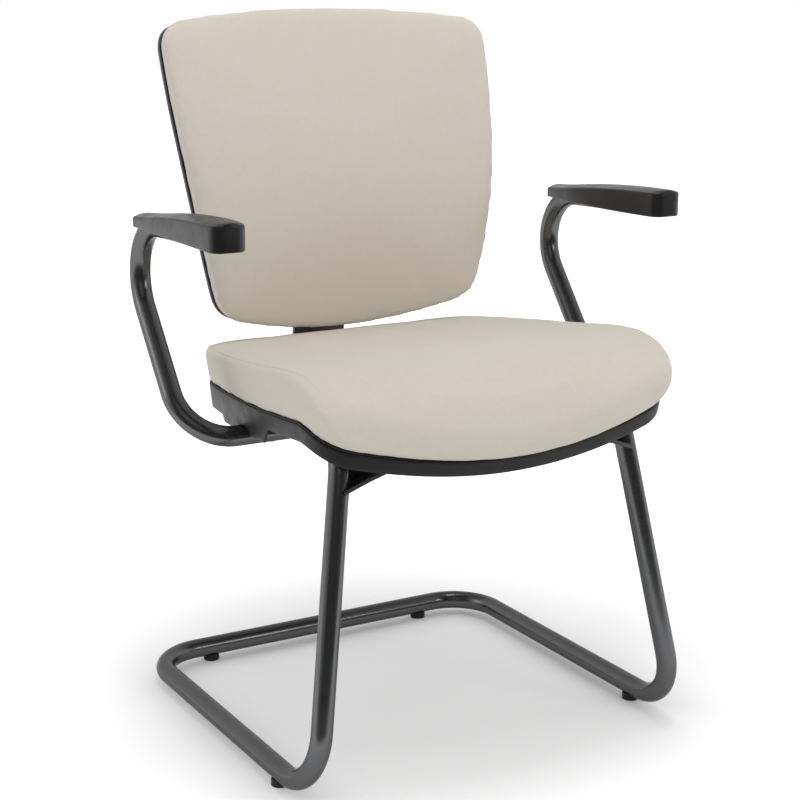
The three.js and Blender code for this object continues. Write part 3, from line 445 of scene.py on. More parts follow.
class Surface(Nodes):
    """A material's nodes around one Principled shader. Textures lie in object space."""

    def __init__(self, name, color, roughness, **sockets):
        self.material = bpy.data.materials.new(name)
        self.material.use_nodes = True
        self.material.diffuse_color = (*color, 1)
        super().__init__(self.material.node_tree)
        looks = {"Base Color": (*color, 1), "Roughness": roughness}
        self.shader = self.add("BsdfPrincipled", looks)
        for socket, value in sockets.items():
            self.shader.inputs[socket.replace("_", " ")].default_value = value
        self.add("OutputMaterial", {0: self.shader.outputs[0]})
        self.where = self.add("TexCoord").outputs["Object"]

    def noise(self, scale, detail, roughness=0.5):
        inputs = {"Vector": self.where, "Scale": scale, "Detail": detail, "Roughness": roughness}
        return self.add("TexNoise", inputs).outputs["Fac"]

    def connect(self, source, socket):
        self.tree.links.new(source, self.shader.inputs[socket])

    def tone(self, factor, tones):
        self.connect(self.mix_color(factor, *tones), "Base Color")

    def bump(self, height, distance, strength):
        node = self.add("Bump", {"Height": height, "Distance": distance, "Strength": strength})
        self.connect(node.outputs["Normal"], "Normal")


def frame_paint():
    """Graphite powder coat with metal flake: a satin skin with a fine orange peel."""
    paint = Surface("frame_paint", PAINT_COLOR, 0.26, Metallic=0.9, Specular_Tint=(0.6, 0.6, 0.6, 1))
    paint.tone(paint.noise(scale=9, detail=3), PAINT_TONES)
    patches = paint.noise(scale=60, detail=4, roughness=0.6)
    paint.connect(paint.ramp(patches, 0.3, 0.7, low_value=0.2, high_value=0.25), "Roughness")
    paint.bump(paint.noise(scale=950, detail=1), distance=0.02 * MM, strength=0.2)
    return paint.material


def grained_plastic(name, tones, roughness, shine, grain_scale, grain_depth):
    """Moulded plastic: a pebbled grain over a slow change of tone."""
    middle = tuple((a + b) / 2 for a, b in zip(*tones))
    skin = Surface(name, middle, roughness, Specular_IOR_Level=shine)
    skin.tone(skin.noise(scale=14, detail=3), tones)
    pebbles = skin.add("TexVoronoi", {"Vector": skin.where, "Scale": grain_scale},
                       feature="SMOOTH_F1").outputs["Distance"]
    fine = skin.noise(scale=GRAIN_FINER * grain_scale, detail=2)
    height = skin.total(pebbles, skin.product(fine, GRAIN_FINE_SHARE))
    skin.bump(height, distance=grain_depth, strength=0.5)
    patches = skin.noise(scale=45, detail=4, roughness=0.65)
    worn = skin.ramp(patches, 0.35, 0.7, roughness - PLASTIC_WEAR, roughness + PLASTIC_WEAR)
    skin.connect(worn, "Roughness")
    return skin.material


def fabric():
    """A tight plain-woven cover with soft sheen and a few slubs, woven along the nearest axes."""
    cloth = Surface("cover_fabric", FABRIC_TONES[1], 0.92, Specular_IOR_Level=0.15, Sheen_Weight=0.1,
                    Sheen_Roughness=0.5)
    place_parts = cloth.add("SeparateXYZ", {0: cloth.where}).outputs
    normal = cloth.add("NewGeometry").outputs["Normal"]
    facing = cloth.add("SeparateXYZ", {0: normal}).outputs
    waves = []
    for axis in range(3):
        turned = cloth.product(place_parts[axis], 2 * pi / THREAD_PITCH)
        waves.append(cloth.math("SINE", turned))
    weights = []
    weaves = []
    for axis, (first, second) in enumerate([(1, 2), (0, 2), (0, 1)]):
        squared = cloth.product(facing[axis], facing[axis])
        weights.append(cloth.product(squared, squared))
        weaves.append(cloth.product(weights[axis], cloth.product(waves[first], waves[second])))
    weave = cloth.math("DIVIDE", cloth.total(*weaves), cloth.total(*weights))
    fibres = cloth.noise(scale=1600, detail=2)
    slubs = cloth.noise(scale=140, detail=4, roughness=0.7)
    cloud = cloth.noise(scale=7, detail=2)
    shade = cloth.total(cloth.product(slubs, SLUB_SHARE), cloth.product(fibres, FIBRE_SHARE),
                        cloth.product(cloud, CLOUD_SHARE), cloth.product(weave, WEAVE_SHARE))
    cloth.tone(cloth.ramp(shade, 0.25, 0.75), FABRIC_TONES)
    cloth.bump(cloth.total(weave, cloth.product(fibres, FIBRE_HEIGHT)), distance=0.12 * MM, strength=0.5)
    return cloth.material


def plywood():
    """Birch plywood: long grain on the faces."""
    wood = Surface("birch_plywood", PLYWOOD_COLOR, 0.7)
    wood.where = wood.add("Mapping", {"Vector": wood.where, "Scale": PLYWOOD_GRAIN}).outputs[0]
    grain = wood.noise(scale=4, detail=5, roughness=0.6)
    wood.tone(grain, PLYWOOD_TONES)
    wood.bump(grain, distance=0.1 * MM, strength=0.3)
    return wood.material


def zinc_steel():
    """Zinc plated steel with a faint patchy passivation."""
    steel = Surface("zinc_steel", ZINC_COLOR, 0.35, Metallic=1.0)
    patches = steel.noise(scale=400, detail=3)
    steel.tone(patches, ZINC_TONES)
    steel.connect(steel.ramp(patches, 0.3, 0.7, low_value=0.28, high_value=0.42), "Roughness")
    return steel.material


def seam_painted_shade():
    """Painted shade: a near-black band in the joints below the covers, standing in for the shadow in the
    gap there.
    """
    shade_band = Surface("seam_painted_shade", SEAM_SHADE_COLOR, 0.8)
    shade_band.tone(shade_band.noise(scale=700, detail=2), SEAM_SHADE_TONES)
    return shade_band.material


def make_materials():
    return {
        "frame_paint": frame_paint(),
        "black_plastic": grained_plastic("black_plastic", BLACK_TONES, roughness=0.5, shine=0.28,
                                         grain_scale=1500, grain_depth=0.03 * MM),
        "pad_plastic": grained_plastic("pad_plastic", PAD_TONES, roughness=0.36, shine=0.38,
                                       grain_scale=1300, grain_depth=0.03 * MM),
        "shell_plastic": grained_plastic("shell_plastic", SHELL_TONES, roughness=0.5, shine=0.45,
                                         grain_scale=1200, grain_depth=0.07 * MM),
        "fabric": fabric(),
        "plywood": plywood(),
        "zinc_steel": zinc_steel(),
        "seam": seam_painted_shade(),
    }


# Mesh making
MERGE_DISTANCE = 0.001 * MM


def new_object(name, vertices, faces, slot, replaced=(), crisp=None):
    """A closed mesh piece that rides on the frame, smooth but for edges over the crisp angle."""
    mesh = bpy.data.meshes.new(name)
    mesh.from_pydata([tuple(v) for v in vertices], [], faces)
    turned = bmesh.new()
    turned.from_mesh(mesh)
    bmesh.ops.remove_doubles(turned, verts=turned.verts, dist=MERGE_DISTANCE)
    bmesh.ops.recalc_face_normals(turned, faces=turned.faces)
    if crisp is not None:
        turned.normal_update()
        for edge in turned.edges:
            edge.smooth = len(edge.link_faces) != 2 or edge.calc_face_angle(0) < radians(crisp)
    turned.to_mesh(mesh)
    turned.free()
    mesh.polygons.foreach_set("use_smooth", [True] * len(mesh.polygons))
    mesh.materials.append(MATERIALS[slot])
    piece = bpy.data.objects.new(name, mesh)
    SCENE.collection.objects.link(piece)
    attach(piece, "root")
    if replaced:
        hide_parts(*replaced)
    return piece


def ring_faces(rings, count):
    """Quads between successive rings of points."""
    faces = []
    for ring in range(rings - 1):
        low = ring * count
        for i in range(count):
            after = (i + 1) % count
            faces.append((low + i, low + after, low + count + after, low + count + i))
    return faces


def ring_mesh(first_pole, rings, last_pole):
    """Vertices and faces of a closed body from rings, with a point at each end."""
    count = len(rings[0])
    vertices = [p for ring in rings for p in ring]
    faces = ring_faces(len(rings), count)
    for pole, base in ((first_pole, 0), (last_pole, (len(rings) - 1) * count)):
        vertices.append(pole)
        tip = len(vertices) - 1
        for i in range(count):
            faces.append((base + i, base + (i + 1) % count, tip))
    return vertices, faces


def solid_piece(name, first_pole, rings, last_pole, slot, replaced, crisp):
    """A solid body from rings between two end points."""
    vertices, faces = ring_mesh(first_pole, rings, last_pole)
    new_object(name, vertices, faces, slot, replaced, crisp)


def hollow_piece(name, rings, slot, replaced=()):
    """A body with a hole through it, from rings that lead back to the first one."""
    count = len(rings[0])
    faces = ring_faces(len(rings), count)
    top = (len(rings) - 1) * count
    faces += [(top + i, top + (i + 1) % count, (i + 1) % count, i) for i in range(count)]
    return new_object(name, [p for ring in rings for p in ring], faces, slot, replaced, crisp=40)


def smooth_rings(rings, steps):
    """More rings between the given ones, on a curve through them."""
    dense = []
    for i in range(len(rings) - 1):
        before = rings[max(i - 1, 0)]
        after = rings[min(i + 2, len(rings) - 1)]
        for step in range(steps):
            t = step / steps
            ring = []
            for p0, p1, p2, p3 in zip(before, rings[i], rings[i + 1], after):
                ring.append(0.5 * (2 * p1 + (p2 - p0) * t + (2 * p0 - 5 * p1 + 4 * p2 - p3) * t * t
                                   + (3 * p1 - p0 - 3 * p2 + p3) * t * t * t))
            dense.append(ring)
    dense.append(rings[-1])
    return dense


class SideLine:
    """A side view line: straight, round, then straight, as the shells follow it."""

    def __init__(self, y, z, start, straight, turn, radius):
        self.y, self.z, self.start, self.straight = y, z, start, straight
        self.arc = abs(turn) * radius
        self.curvature = copysign(1 / radius, turn)

    def at(self, length):
        before = min(length, self.straight)
        round_part = min(max(length - self.straight, 0), self.arc)
        after = max(length - self.straight - self.arc, 0)
        heading = self.start + self.curvature * round_part
        round_y = (sin(heading) - sin(self.start)) / self.curvature
        round_z = (cos(heading) - cos(self.start)) / self.curvature
        y = self.y - before * cos(self.start) - round_y - after * cos(heading)
        z = self.z + before * sin(self.start) - round_z + after * sin(heading)
        return y, z, heading


def bezier(first, middle, last, t):
    return first * (1 - t) ** 2 + middle * 2 * t * (1 - t) + last * t * t


def rounded_outline(corners, bulges, setbacks, edge_steps, corner_steps):
    """An outline of bulged edges between corners, each corner rounded over its setback."""
    count = len(corners)
    edges = []
    for i in range(count):
        first, last = corners[i], corners[(i + 1) % count]
        side = last - first
        outward = Vector((side.y, -side.x)).normalized()
        edges.append((first, (first + last) / 2 + outward * 2 * bulges[i], last, side.length))
    outline = []
    for i in range(count):
        first, middle, last, length = edges[i]
        next_edge = edges[(i + 1) % count]
        setback = setbacks[(i + 1) % count]
        start, end = setbacks[i] / length, 1 - setback / length
        for step in range(edge_steps[i] + 1):
            outline.append(bezier(first, middle, last, start + (end - start) * step / edge_steps[i]))
        leaving = bezier(first, middle, last, end)
        entering = bezier(*next_edge[:3], setback / next_edge[3])
        for step in range(1, corner_steps):
            outline.append(bezier(leaving, last, entering, step / corner_steps))
    return outline


def drawn_in(outline, middle, distance):
    drawn = []
    for p in outline:
        arm = p - middle
        drawn.append(middle + arm * (1 - distance / arm.length))
    return drawn


def scaled_in(outline, middle, share):
    return [blend(middle, p, share) for p in outline]


def blend(first, last, share):
    return first + (last - first) * share


def smooth_share(value, start, length):
    share = min(max((value - start) / length, 0), 1)
    return share * share * (3 - 2 * share)


# Routes and swept tubes
def bent_route(corners, radii):
    """Stations along straight stretches with round bends: pairs of place and heading."""
    stations = [(corners[0], (corners[1] - corners[0]).normalized())]
    for i in range(1, len(corners) - 1):
        inward = (corners[i] - corners[i - 1]).normalized()
        outward = (corners[i + 1] - corners[i]).normalized()
        turn = inward.angle(outward)
        start = corners[i] - inward * radii[i - 1] * tan(turn / 2)
        axis = inward.cross(outward).normalized()
        spoke = axis.cross(inward)
        centre = start + spoke * radii[i - 1]
        steps = max(2, ceil(turn / BEND_STEP))
        for step in range(steps + 1):
            around = Quaternion(axis, turn * step / steps)
            stations.append((centre + around @ (-spoke * radii[i - 1]), around @ inward))
    stations.append((corners[-1], (corners[-1] - corners[-2]).normalized()))
    return stations


def sweep(stations, section, side):
    """Rings of section points along the stations, carried along without twist."""
    rings = []
    for at, heading in stations:
        side = (side - heading * side.dot(heading)).normalized()
        other = heading.cross(side)
        rings.append([at + side * a + other * b for a, b in section])
    return rings


def circle(radius, sides):
    return [(radius * cos(2 * pi * i / sides), radius * sin(2 * pi * i / sides))
            for i in range(sides)]


def split_long(stations, longest):
    """Extra stations on long straight stretches, so that the tube's quads stay even."""
    dense = [stations[0]]
    for (a, _), (b, heading) in zip(stations, stations[1:]):
        pieces = max(1, ceil((b - a).length / longest))
        for i in range(1, pieces):
            dense.append((a + (b - a) * i / pieces, heading))
        dense.append((b, heading))
    return dense


TUBE_LONGEST_QUAD = 60 * MM
TUBE_END_EDGE = 0.6 * MM


def tube_piece(name, stations, replaced):
    """A round tube with a slightly broken edge at its open ends, and its bore."""
    stations = split_long(stations, TUBE_LONGEST_QUAD)
    outer = sweep(stations, circle(TUBE_RADIUS, TUBE_SIDES), UP)
    inner = sweep(stations, circle(TUBE_BORE, TUBE_SIDES), UP)
    first_at, first_heading = stations[0]
    last_at, last_heading = stations[-1]
    lip = (TUBE_RADIUS - TUBE_END_EDGE) / TUBE_RADIUS
    start = [blend(first_at, p, lip) for p in outer[0]]
    end = [blend(last_at, p, lip) for p in outer[-1]]
    outer[0] = [p + first_heading * TUBE_END_EDGE for p in outer[0]]
    outer[-1] = [p - last_heading * TUBE_END_EDGE for p in outer[-1]]
    hollow_piece(name, [start, *outer, end, *reversed(inner)], "frame_paint", [replaced])


class Sheet:
    """A curved sheet: an outline with its middle, and the point for a flat place and a height."""

    def __init__(self, outline, middle, point):
        self.outline, self.middle, self.point = outline, middle, point

    def drawn(self, distance, height):
        return [self.point(p, height) for p in drawn_in(self.outline, self.middle, distance)]

    def scaled(self, share, height):
        return [self.point(p, height) for p in scaled_in(self.outline, self.middle, share)]

    def pole(self, height):
        return self.point(self.middle, height)


def four_corners(rear_half_width, rear, front_half_width, front):
    return [Vector((-rear_half_width, rear)), Vector((rear_half_width, rear)),
            Vector((front_half_width, front)), Vector((-front_half_width, front))]


# Seat
SEAT_LINE = SideLine(-SEAT_REAR_REACH, SEAT_REAR_HEIGHT, SEAT_RISE, SEAT_STRAIGHT, -WATERFALL_TURN,
                     WATERFALL_RADIUS)


def seat_point(p, height):
    y, z, heading = SEAT_LINE.at(p.y)
    return place(p.x, y + height * sin(heading), z + height * cos(heading))


SEAT_CORNERS = four_corners(SEAT_REAR_HALF_WIDTH, 0, SEAT_FRONT_HALF_WIDTH, SEAT_FRONT_CORNER)
SEAT = Sheet(rounded_outline(SEAT_CORNERS, SEAT_BULGES, SEAT_SETBACKS, SEAT_EDGE_STEPS, CORNER_STEPS),
             Vector((0, SEAT_FRONT_CORNER / 2)), seat_point)


def under_seat(setback, depth):
    return seat_point(Vector((0, (setback - SEAT_REAR_REACH) / cos(SEAT_RISE))), -depth)


def seat_pad_height(p):
    across = p.x / SEAT_FRONT_HALF_WIDTH
    front_edge = SEAT_FRONT_CORNER + SEAT_BULGES[2] * (1 - across * across)
    nose = min(max((p.y - front_edge) / SEAT_NOSE_LENGTH + 1, 0), 1)
    along = min(max(p.y / SEAT_STRAIGHT, 0), 1)
    full = blend(SEAT_PAD_REAR, SEAT_PAD_FRONT, along)
    nose_height = (1 - nose ** SEAT_NOSE_FULLNESS) ** (1 / SEAT_NOSE_FULLNESS)
    return blend(SEAT_PAD_NOSE, full, nose_height)


# Shares of the side's bulge and of the pad's height, then shares of the outline
SIDE_RING_SHARES = [(0, 0), (0.45, 0.25), (0.8, 0.55), (1, 0.78), (0.35, 0.93)]
CROWN_RING_SHARES = [0.96, 0.9, 0.78, 0.58, 0.36, 0.16]
CUSHION_RING_STEPS = 3


def seat_cushion_rings():
    rings = [SEAT.drawn(SEAM_INSET, TOUCH_GAP)]
    for bulge_share, height_share in SIDE_RING_SHARES:
        ring = []
        for seam in SEAT.outline:
            along = min(seam.y / SEAT_FRONT_CORNER, 1)
            pad = seat_pad_height(seam)
            full_bulge = blend(SEAT_PAD_REAR_BULGE, SEAT_PAD_FRONT_BULGE, along)
            bulge = full_bulge * pad / SEAT_PAD_FRONT
            at = drawn_in([seam], SEAT.middle, -bulge_share * bulge)[0]
            ring.append(seat_point(at, SEAM_GROOVE + height_share * (pad - SEAM_GROOVE)))
        rings.append(ring)
    for share in CROWN_RING_SHARES:
        crown = SEAT_PAD_CROWN * (1 - share * share)
        outline = scaled_in(SEAT.outline, SEAT.middle, share)
        rings.append([seat_point(p, seat_pad_height(p) + crown) for p in outline])
    return rings


def point_array(mesh):
    points = np.empty(len(mesh.vertices) * 3)
    mesh.vertices.foreach_get("co", points)
    return points.reshape(-1, 3)


def shown_mesh(piece):
    return piece.evaluated_get(bpy.context.evaluated_depsgraph_get()).data


def puffed(piece, cap):
    """The cover under pressure: simulated as cloth, with each point kept near its start."""
    mesh = piece.data
    start = point_array(mesh)
    modifier = piece.modifiers.new("cover", "CLOTH")
    for name, value in CLOTH_SETTINGS.items():
        setattr(modifier.settings, name, value)
    modifier.settings.effector_weights.gravity = 0
    modifier.collision_settings.use_collision = False
    modifier.point_cache.frame_start = 1
    modifier.point_cache.frame_end = CUSHION_FRAMES
    for number in range(1, CUSHION_FRAMES + 1):
        SCENE.frame_set(number)
    step = point_array(shown_mesh(piece)) - start
    piece.modifiers.remove(modifier)
    SCENE.frame_set(1)
    length = np.linalg.norm(step, axis=1)
    step *= (cap * np.tanh(length / cap) / np.maximum(length, NO_LENGTH))[:, None]
    mesh.vertices.foreach_set("co", (start + step).ravel())
    mesh.update()


def remesh(piece):
    """Even quads all over, in place of the piece's own faces."""
    modifier = piece.modifiers.new("even_quads", "REMESH")
    modifier.mode = "VOXEL"
    modifier.voxel_size = CUSHION_VOXEL
    shown = piece.evaluated_get(bpy.context.evaluated_depsgraph_get())
    mesh = bpy.data.meshes.new_from_object(shown)
    old = piece.data
    piece.modifiers.clear()
    piece.data = mesh
    bpy.data.meshes.remove(old)
    mesh.name = piece.name


def subdivide(piece):
    """A finer surface, with its small steps smoothed out first."""
    even = piece.modifiers.new("even", "SMOOTH")
    even.factor = CUSHION_SMOOTH_SHARE
    even.iterations = CUSHION_SMOOTH_STEPS
    fine = piece.modifiers.new("fine", "SUBSURF")
    fine.levels = fine.render_levels = 1


def drawn_onto(piece, vertices, faces, depth):
    """Each point moved onto a surface, and then inwards by a depth."""
    surface = BVHTree.FromPolygons([tuple(v) for v in vertices], faces)
    for point in piece.data.vertices:
        at, normal, _, _ = surface.find_nearest(point.co)
        outward = normal if normal.dot(point.normal) > 0 else -normal
        point.co = at - outward * depth
    piece.data.update()


def cushion_piece(name, pole_in, rings, pole_out, replaced, start, cap):
    vertices, faces = ring_mesh(pole_in, rings, pole_out)
    piece = new_object(name, vertices, faces, "fabric", replaced)
    remesh(piece)
    drawn_onto(piece, vertices, faces, start)
    puffed(piece, cap)
    subdivide(piece)
    piece.data.polygons.foreach_set("use_smooth", [True] * len(piece.data.polygons))
    return piece


def welt_curve(rings):
    """Over the seat's edge, from one front corner back round the rear to the other."""
    side, crown = rings[WELT_SIDE_RING], rings[WELT_SIDE_RING + 1]
    middle = len(side) // 2
    curve = []
    for i in [*range(middle, len(side)), *range(middle)]:
        at = SEAT.outline[i]
        along_front = at.y > SEAT_FRONT_CORNER and abs(at.x) < SEAT_REAR_HALF_WIDTH
        if at.y < WELT_FRONT_END and not along_front:
            share = smooth_share(at.y, WELT_TURN_START, WELT_FRONT_END - WELT_TURN_START)
            curve.append(side[i].lerp(crown[i], blend(WELT_SIDE_SHARE, 1, share)))
    return curve


def add_welt(name, cover, curve):
    """A slim raised seam along a curve on a cover, thinning out at both of its ends."""
    shown = shown_mesh(cover)
    surface = BVHTree.FromPolygons([v.co.copy() for v in shown.vertices],
                                   [tuple(face.vertices) for face in shown.polygons])
    found = [surface.find_nearest(point) for point in curve]
    rings = []
    last = len(curve) - 1
    for i, (at, normal, _, _) in enumerate(found):
        heading = (found[min(i + 1, last)][0] - found[max(i - 1, 0)][0]).normalized()
        side = heading.cross(normal).normalized()
        above = side.cross(heading)
        fade = smooth_share(min(i, last - i) / last, 0, WELT_FADE_SHARE)
        radius = WELT_RADIUS * fade + WELT_END_RADIUS
        centre = at - normal * radius * WELT_SINK_SHARE
        rings.append([centre + side * a + above * b for a, b in circle(radius, WELT_SIDES)])
    vertices, faces = ring_mesh(found[0][0], rings, found[-1][0])
    new_object(name, vertices, faces, "fabric")


def add_seam_shade(name, sheet, low, high):
    """A thin near-black band in the joint below a cover: painted shade for the shadow in the gap."""
    inner, outer = ([sheet.drawn(inset, height) for height in (low, high)]
                    for inset in (SEAM_SHADE_DEPTH, SEAM_SHADE_INSET))
    piece = hollow_piece(name, [*inner, *reversed(outer)], "black_plastic")
    piece.data.materials[0] = MATERIALS["seam"]


def add_seat_cushion():
    rings = seat_cushion_rings()
    dense = smooth_rings(rings, CUSHION_RING_STEPS)
    pole_out = SEAT.pole(seat_pad_height(SEAT.middle) + SEAT_PAD_CROWN)
    cover = cushion_piece("seat_cover", SEAT.pole(TOUCH_GAP), dense, pole_out, ["seat_cushion"],
                          SEAT_CUSHION_START, SEAT_CUSHION_CAP)
    add_welt("seat_welt", cover, welt_curve(rings))


def arm_notch_top(y):
    """How high the skirt's foot has to be to clear the arm tube there."""
    room = TUBE_RADIUS + PAN_NOTCH_GAP
    across = y + ARM_FOOT_SETBACK
    if across < 0:
        across *= room / (room + PAN_NOTCH_REACH)
    if abs(across) >= room:
        return 0
    return arm_foot_height() + sqrt(room * room - across * across)


def skirt_drop(p):
    rear_step = smooth_share(p.y, PAN_STEP_START - SEAT_REAR_REACH, PAN_STEP_LENGTH)
    side = blend(PAN_REAR_DROP, PAN_SIDE_DROP, rear_step)
    arch = smooth_share(p.y, PAN_ARCH_START - SEAT_REAR_REACH, PAN_STEP_LENGTH)
    front_share = smooth_share(p.y, SEAT_FRONT_CORNER - SEAT_NOSE_LENGTH / 2, SEAT_NOSE_LENGTH)
    front = blend(PAN_CORNER_DROP, PAN_FRONT_DROP, front_share)
    return blend(side, front, arch)


def skirt_ring(inward, drop_share, lift):
    """A ring on the skirt, some way from the seam down to its foot."""
    middle = SEAT.pole(0)
    ring = []
    for p in SEAT.outline:
        foot = seat_point(p, -TOUCH_GAP)
        level = Vector((middle.x - foot.x, middle.y - foot.y, 0)).normalized()
        low = max(foot.z - skirt_drop(p), arm_notch_top(foot.y - REAR_BAR_Y))
        at = foot + level * inward
        at.z = blend(foot.z, low, drop_share) + lift
        ring.append(at)
    return ring


def add_seat_pan():
    under = -TOUCH_GAP - PAN_FLOOR
    edge, softened = PAN_EDGE_RADIUS, PAN_EDGE_RADIUS * EDGE_SOFTENING
    # How far in each ring of the skirt lies, how far down, and its lift
    skirt = [
        (PAN_WALL + PAN_DRAFT * 0.5, 0.5, 0), (PAN_WALL + PAN_DRAFT, 0.93, 0),
        (PAN_WALL + PAN_DRAFT - edge * 0.4, 1, 0), (PAN_DRAFT + edge, 1, 0),
        (PAN_DRAFT + softened, 1, softened), (PAN_DRAFT, 1, edge),
        *((PAN_DRAFT * share, share, 0) for share in (0.75, 0.5, 0.25)),
        (0, 0, -edge), (softened, 0, -softened), (edge, 0, 0),
    ]
    rings = [
        *(SEAT.scaled(share, under) for share in PAN_FLOOR_SHARES), SEAT.drawn(PAN_WALL, under),
        *(skirt_ring(*row) for row in skirt),
        *(SEAT.scaled(share, -TOUCH_GAP) for share in reversed(PAN_FLOOR_SHARES)),
    ]
    solid_piece("seat_pan_cover", SEAT.pole(under), rings, SEAT.pole(-TOUCH_GAP), "black_plastic",
                ["seat_pan"], crisp=50)


# Sled frame
def rail_corner_on_leg():
    foot = place(RUNNER_HALF_SPAN, -SLED_DEPTH, FRAME_HEIGHT)
    mark = place(LEG_TOP_HALF_SPAN, -SLED_DEPTH + LEG_TOP_SETBACK, LEG_TOP_HEIGHT)
    heading = (mark - foot).normalized()
    slope = tan(SEAT_RISE)
    rail = under_seat(SEAT_REAR_REACH + SEAT_STRAIGHT / 2, RAIL_DEPTH)
    gap = rail.z - slope * (foot.y - rail.y) - foot.z
    return foot, foot + heading * (gap / (heading.z + slope * heading.y))


LEG_FOOT, RAIL_CORNER = rail_corner_on_leg()


def sled_stations():
    """The right half from under the seat to the rear bar, and its mirror image back."""
    rail_end = under_seat(RAIL_REAR_END, RAIL_DEPTH)
    rail_end.x = RAIL_CORNER.x
    right = [rail_end, RAIL_CORNER, LEG_FOOT, place(RUNNER_HALF_SPAN, 0, FRAME_HEIGHT)]
    left = [Vector((-p.x, p.y, p.z)) for p in reversed(right)]
    radii = [RAIL_BEND_RADIUS, FRONT_BEND_RADIUS, REAR_BEND_RADIUS]
    return bent_route(right + left, radii + radii[::-1])


def arm_foot_height():
    rail = under_seat(ARM_FOOT_SETBACK, RAIL_DEPTH)
    return rail.z - (TUBE_RADIUS * 2 + TOUCH_GAP) / cos(SEAT_RISE)


def arm_stations(side):
    rise = (ARM_TIP_SETBACK - ARM_HEAD_SETBACK) * tan(ARM_PAD_RISE)
    corners = [
        place(side * ARM_HALF_SPAN, -ARM_TIP_SETBACK, ARM_HEAD_HEIGHT + rise),
        place(side * ARM_HALF_SPAN, -ARM_HEAD_SETBACK, ARM_HEAD_HEIGHT),
        place(side * ARM_HALF_SPAN, -ARM_FOOT_SETBACK, arm_foot_height()),
        place(side * ARM_INNER_END, -ARM_FOOT_SETBACK, arm_foot_height()),
    ]
    return bent_route(corners, [ARM_HEAD_RADIUS, ARM_FOOT_RADIUS])


# Arm pads
def quadratic_through(values, share):
    rear, middle, front = values
    bend = 2 * (rear + front) - 4 * middle
    return rear + (front - rear - bend) * share + bend * share * share


def quarter(centre_x, centre_z, radius, start, steps=5):
    """Points of a quarter circle, anticlockwise from a start angle in quarter turns."""
    return [(centre_x + radius * cos((start + i / steps) * pi / 2),
             centre_z + radius * sin((start + i / steps) * pi / 2)) for i in range(steps + 1)]


def round_loss(reach, radius):
    """How far a rounded end is drawn in at a distance from its tip."""
    if reach >= radius:
        return 0
    return radius - sqrt(radius * radius - (radius - reach) ** 2)


PAD_LENGTH = PAD_FRONT_END - PAD_REAR_END
PAD_BED_STEPS = 24
PAD_BED_LOWEST = -0.98
PAD_BED_HIGHEST = 0.995
PAD_CROWN_STEPS = 8
PAD_END_STEPS = 10
PAD_LENGTH_STEPS = 40


def arm_head_bend():
    """Where the arm tube's level stretch ends, and the centre of the bend after it."""
    slant = Vector((ARM_HEAD_SETBACK - ARM_FOOT_SETBACK, arm_foot_height() - ARM_HEAD_HEIGHT))
    turn = Vector((cos(ARM_PAD_RISE), -sin(ARM_PAD_RISE))).angle(slant)
    reach = ARM_HEAD_RADIUS * tan(turn / 2)
    start = -ARM_HEAD_SETBACK - reach * cos(ARM_PAD_RISE)
    height = ARM_HEAD_HEIGHT + reach * sin(ARM_PAD_RISE)
    centre_y = start - ARM_HEAD_RADIUS * sin(ARM_PAD_RISE)
    return start, centre_y, height - ARM_HEAD_RADIUS * cos(ARM_PAD_RISE)


def pad_bed(y, underside):
    """The bed for the arm tube across the pad: offsets from the tube's middle, and heights."""
    radius = TUBE_RADIUS + TOUCH_GAP
    start, centre_y, centre_z = arm_head_bend()
    axis = ARM_HEAD_HEIGHT - (y + ARM_HEAD_SETBACK) * tan(ARM_PAD_RISE)

    def height(lift):
        if y <= start:
            return axis + lift / cos(ARM_PAD_RISE)
        return centre_z + sqrt((ARM_HEAD_RADIUS + lift) ** 2 - (y - centre_y) ** 2)

    if y <= start:
        low = (underside - axis) * cos(ARM_PAD_RISE) / radius
    else:
        low = (hypot(underside - centre_z, y - centre_y) - ARM_HEAD_RADIUS) / radius
    first = asin(min(max(low, PAD_BED_LOWEST), PAD_BED_HIGHEST))
    angles = [first + (pi - 2 * first) * i / PAD_BED_STEPS for i in range(PAD_BED_STEPS + 1)]
    return [(radius * cos(a), max(height(radius * sin(a)), underside)) for a in angles]


def pad_section(side, reach, with_bed):
    """The pad's cross-section some way along it, from its rear end."""
    share = reach / PAD_LENGTH
    ahead = PAD_LENGTH - reach
    drawn = round_loss(min(reach, ahead), PAD_END_EDGE_RADIUS)
    half = quadratic_through(PAD_WIDTHS, share) / 2 - drawn
    half -= round_loss(reach, PAD_REAR_PLAN_RADIUS) + round_loss(ahead, PAD_FRONT_PLAN_RADIUS)
    lift = PAD_REAR_LIFT * max(1 - reach / PAD_REAR_LIFT_LENGTH, 0) ** 2
    top = ARM_HEAD_HEIGHT + quadratic_through(PAD_RISES, share) + lift - drawn
    bottom = ARM_HEAD_HEIGHT + PAD_FOOT_RISE + drawn
    middle_x = ARM_HALF_SPAN - PAD_INSET - PAD_LEAN * 4 * share * (1 - share)
    high, low = PAD_TOP_EDGE_RADIUS, PAD_FOOT_EDGE_RADIUS
    flat, edge = half - high, half - low
    points = quarter(edge, bottom + low, low, -1) + quarter(flat, top - high, high, 0)
    points += [(x, top + PAD_CROWN * (1 - (x / flat) ** 2))
               for x in np.linspace(flat, -flat, PAD_CROWN_STEPS + 1)[1:-1]]
    points += quarter(-flat, top - high, high, 1) + quarter(-edge, bottom + low, low, 2)
    shift = ARM_HALF_SPAN - middle_x
    y = -PAD_REAR_END - reach
    for x, z in pad_bed(y, bottom):
        points.append((min(max(shift - x, -edge), edge), z if with_bed else bottom))
    return [place(side * (middle_x + x), y, z) for x, z in points]


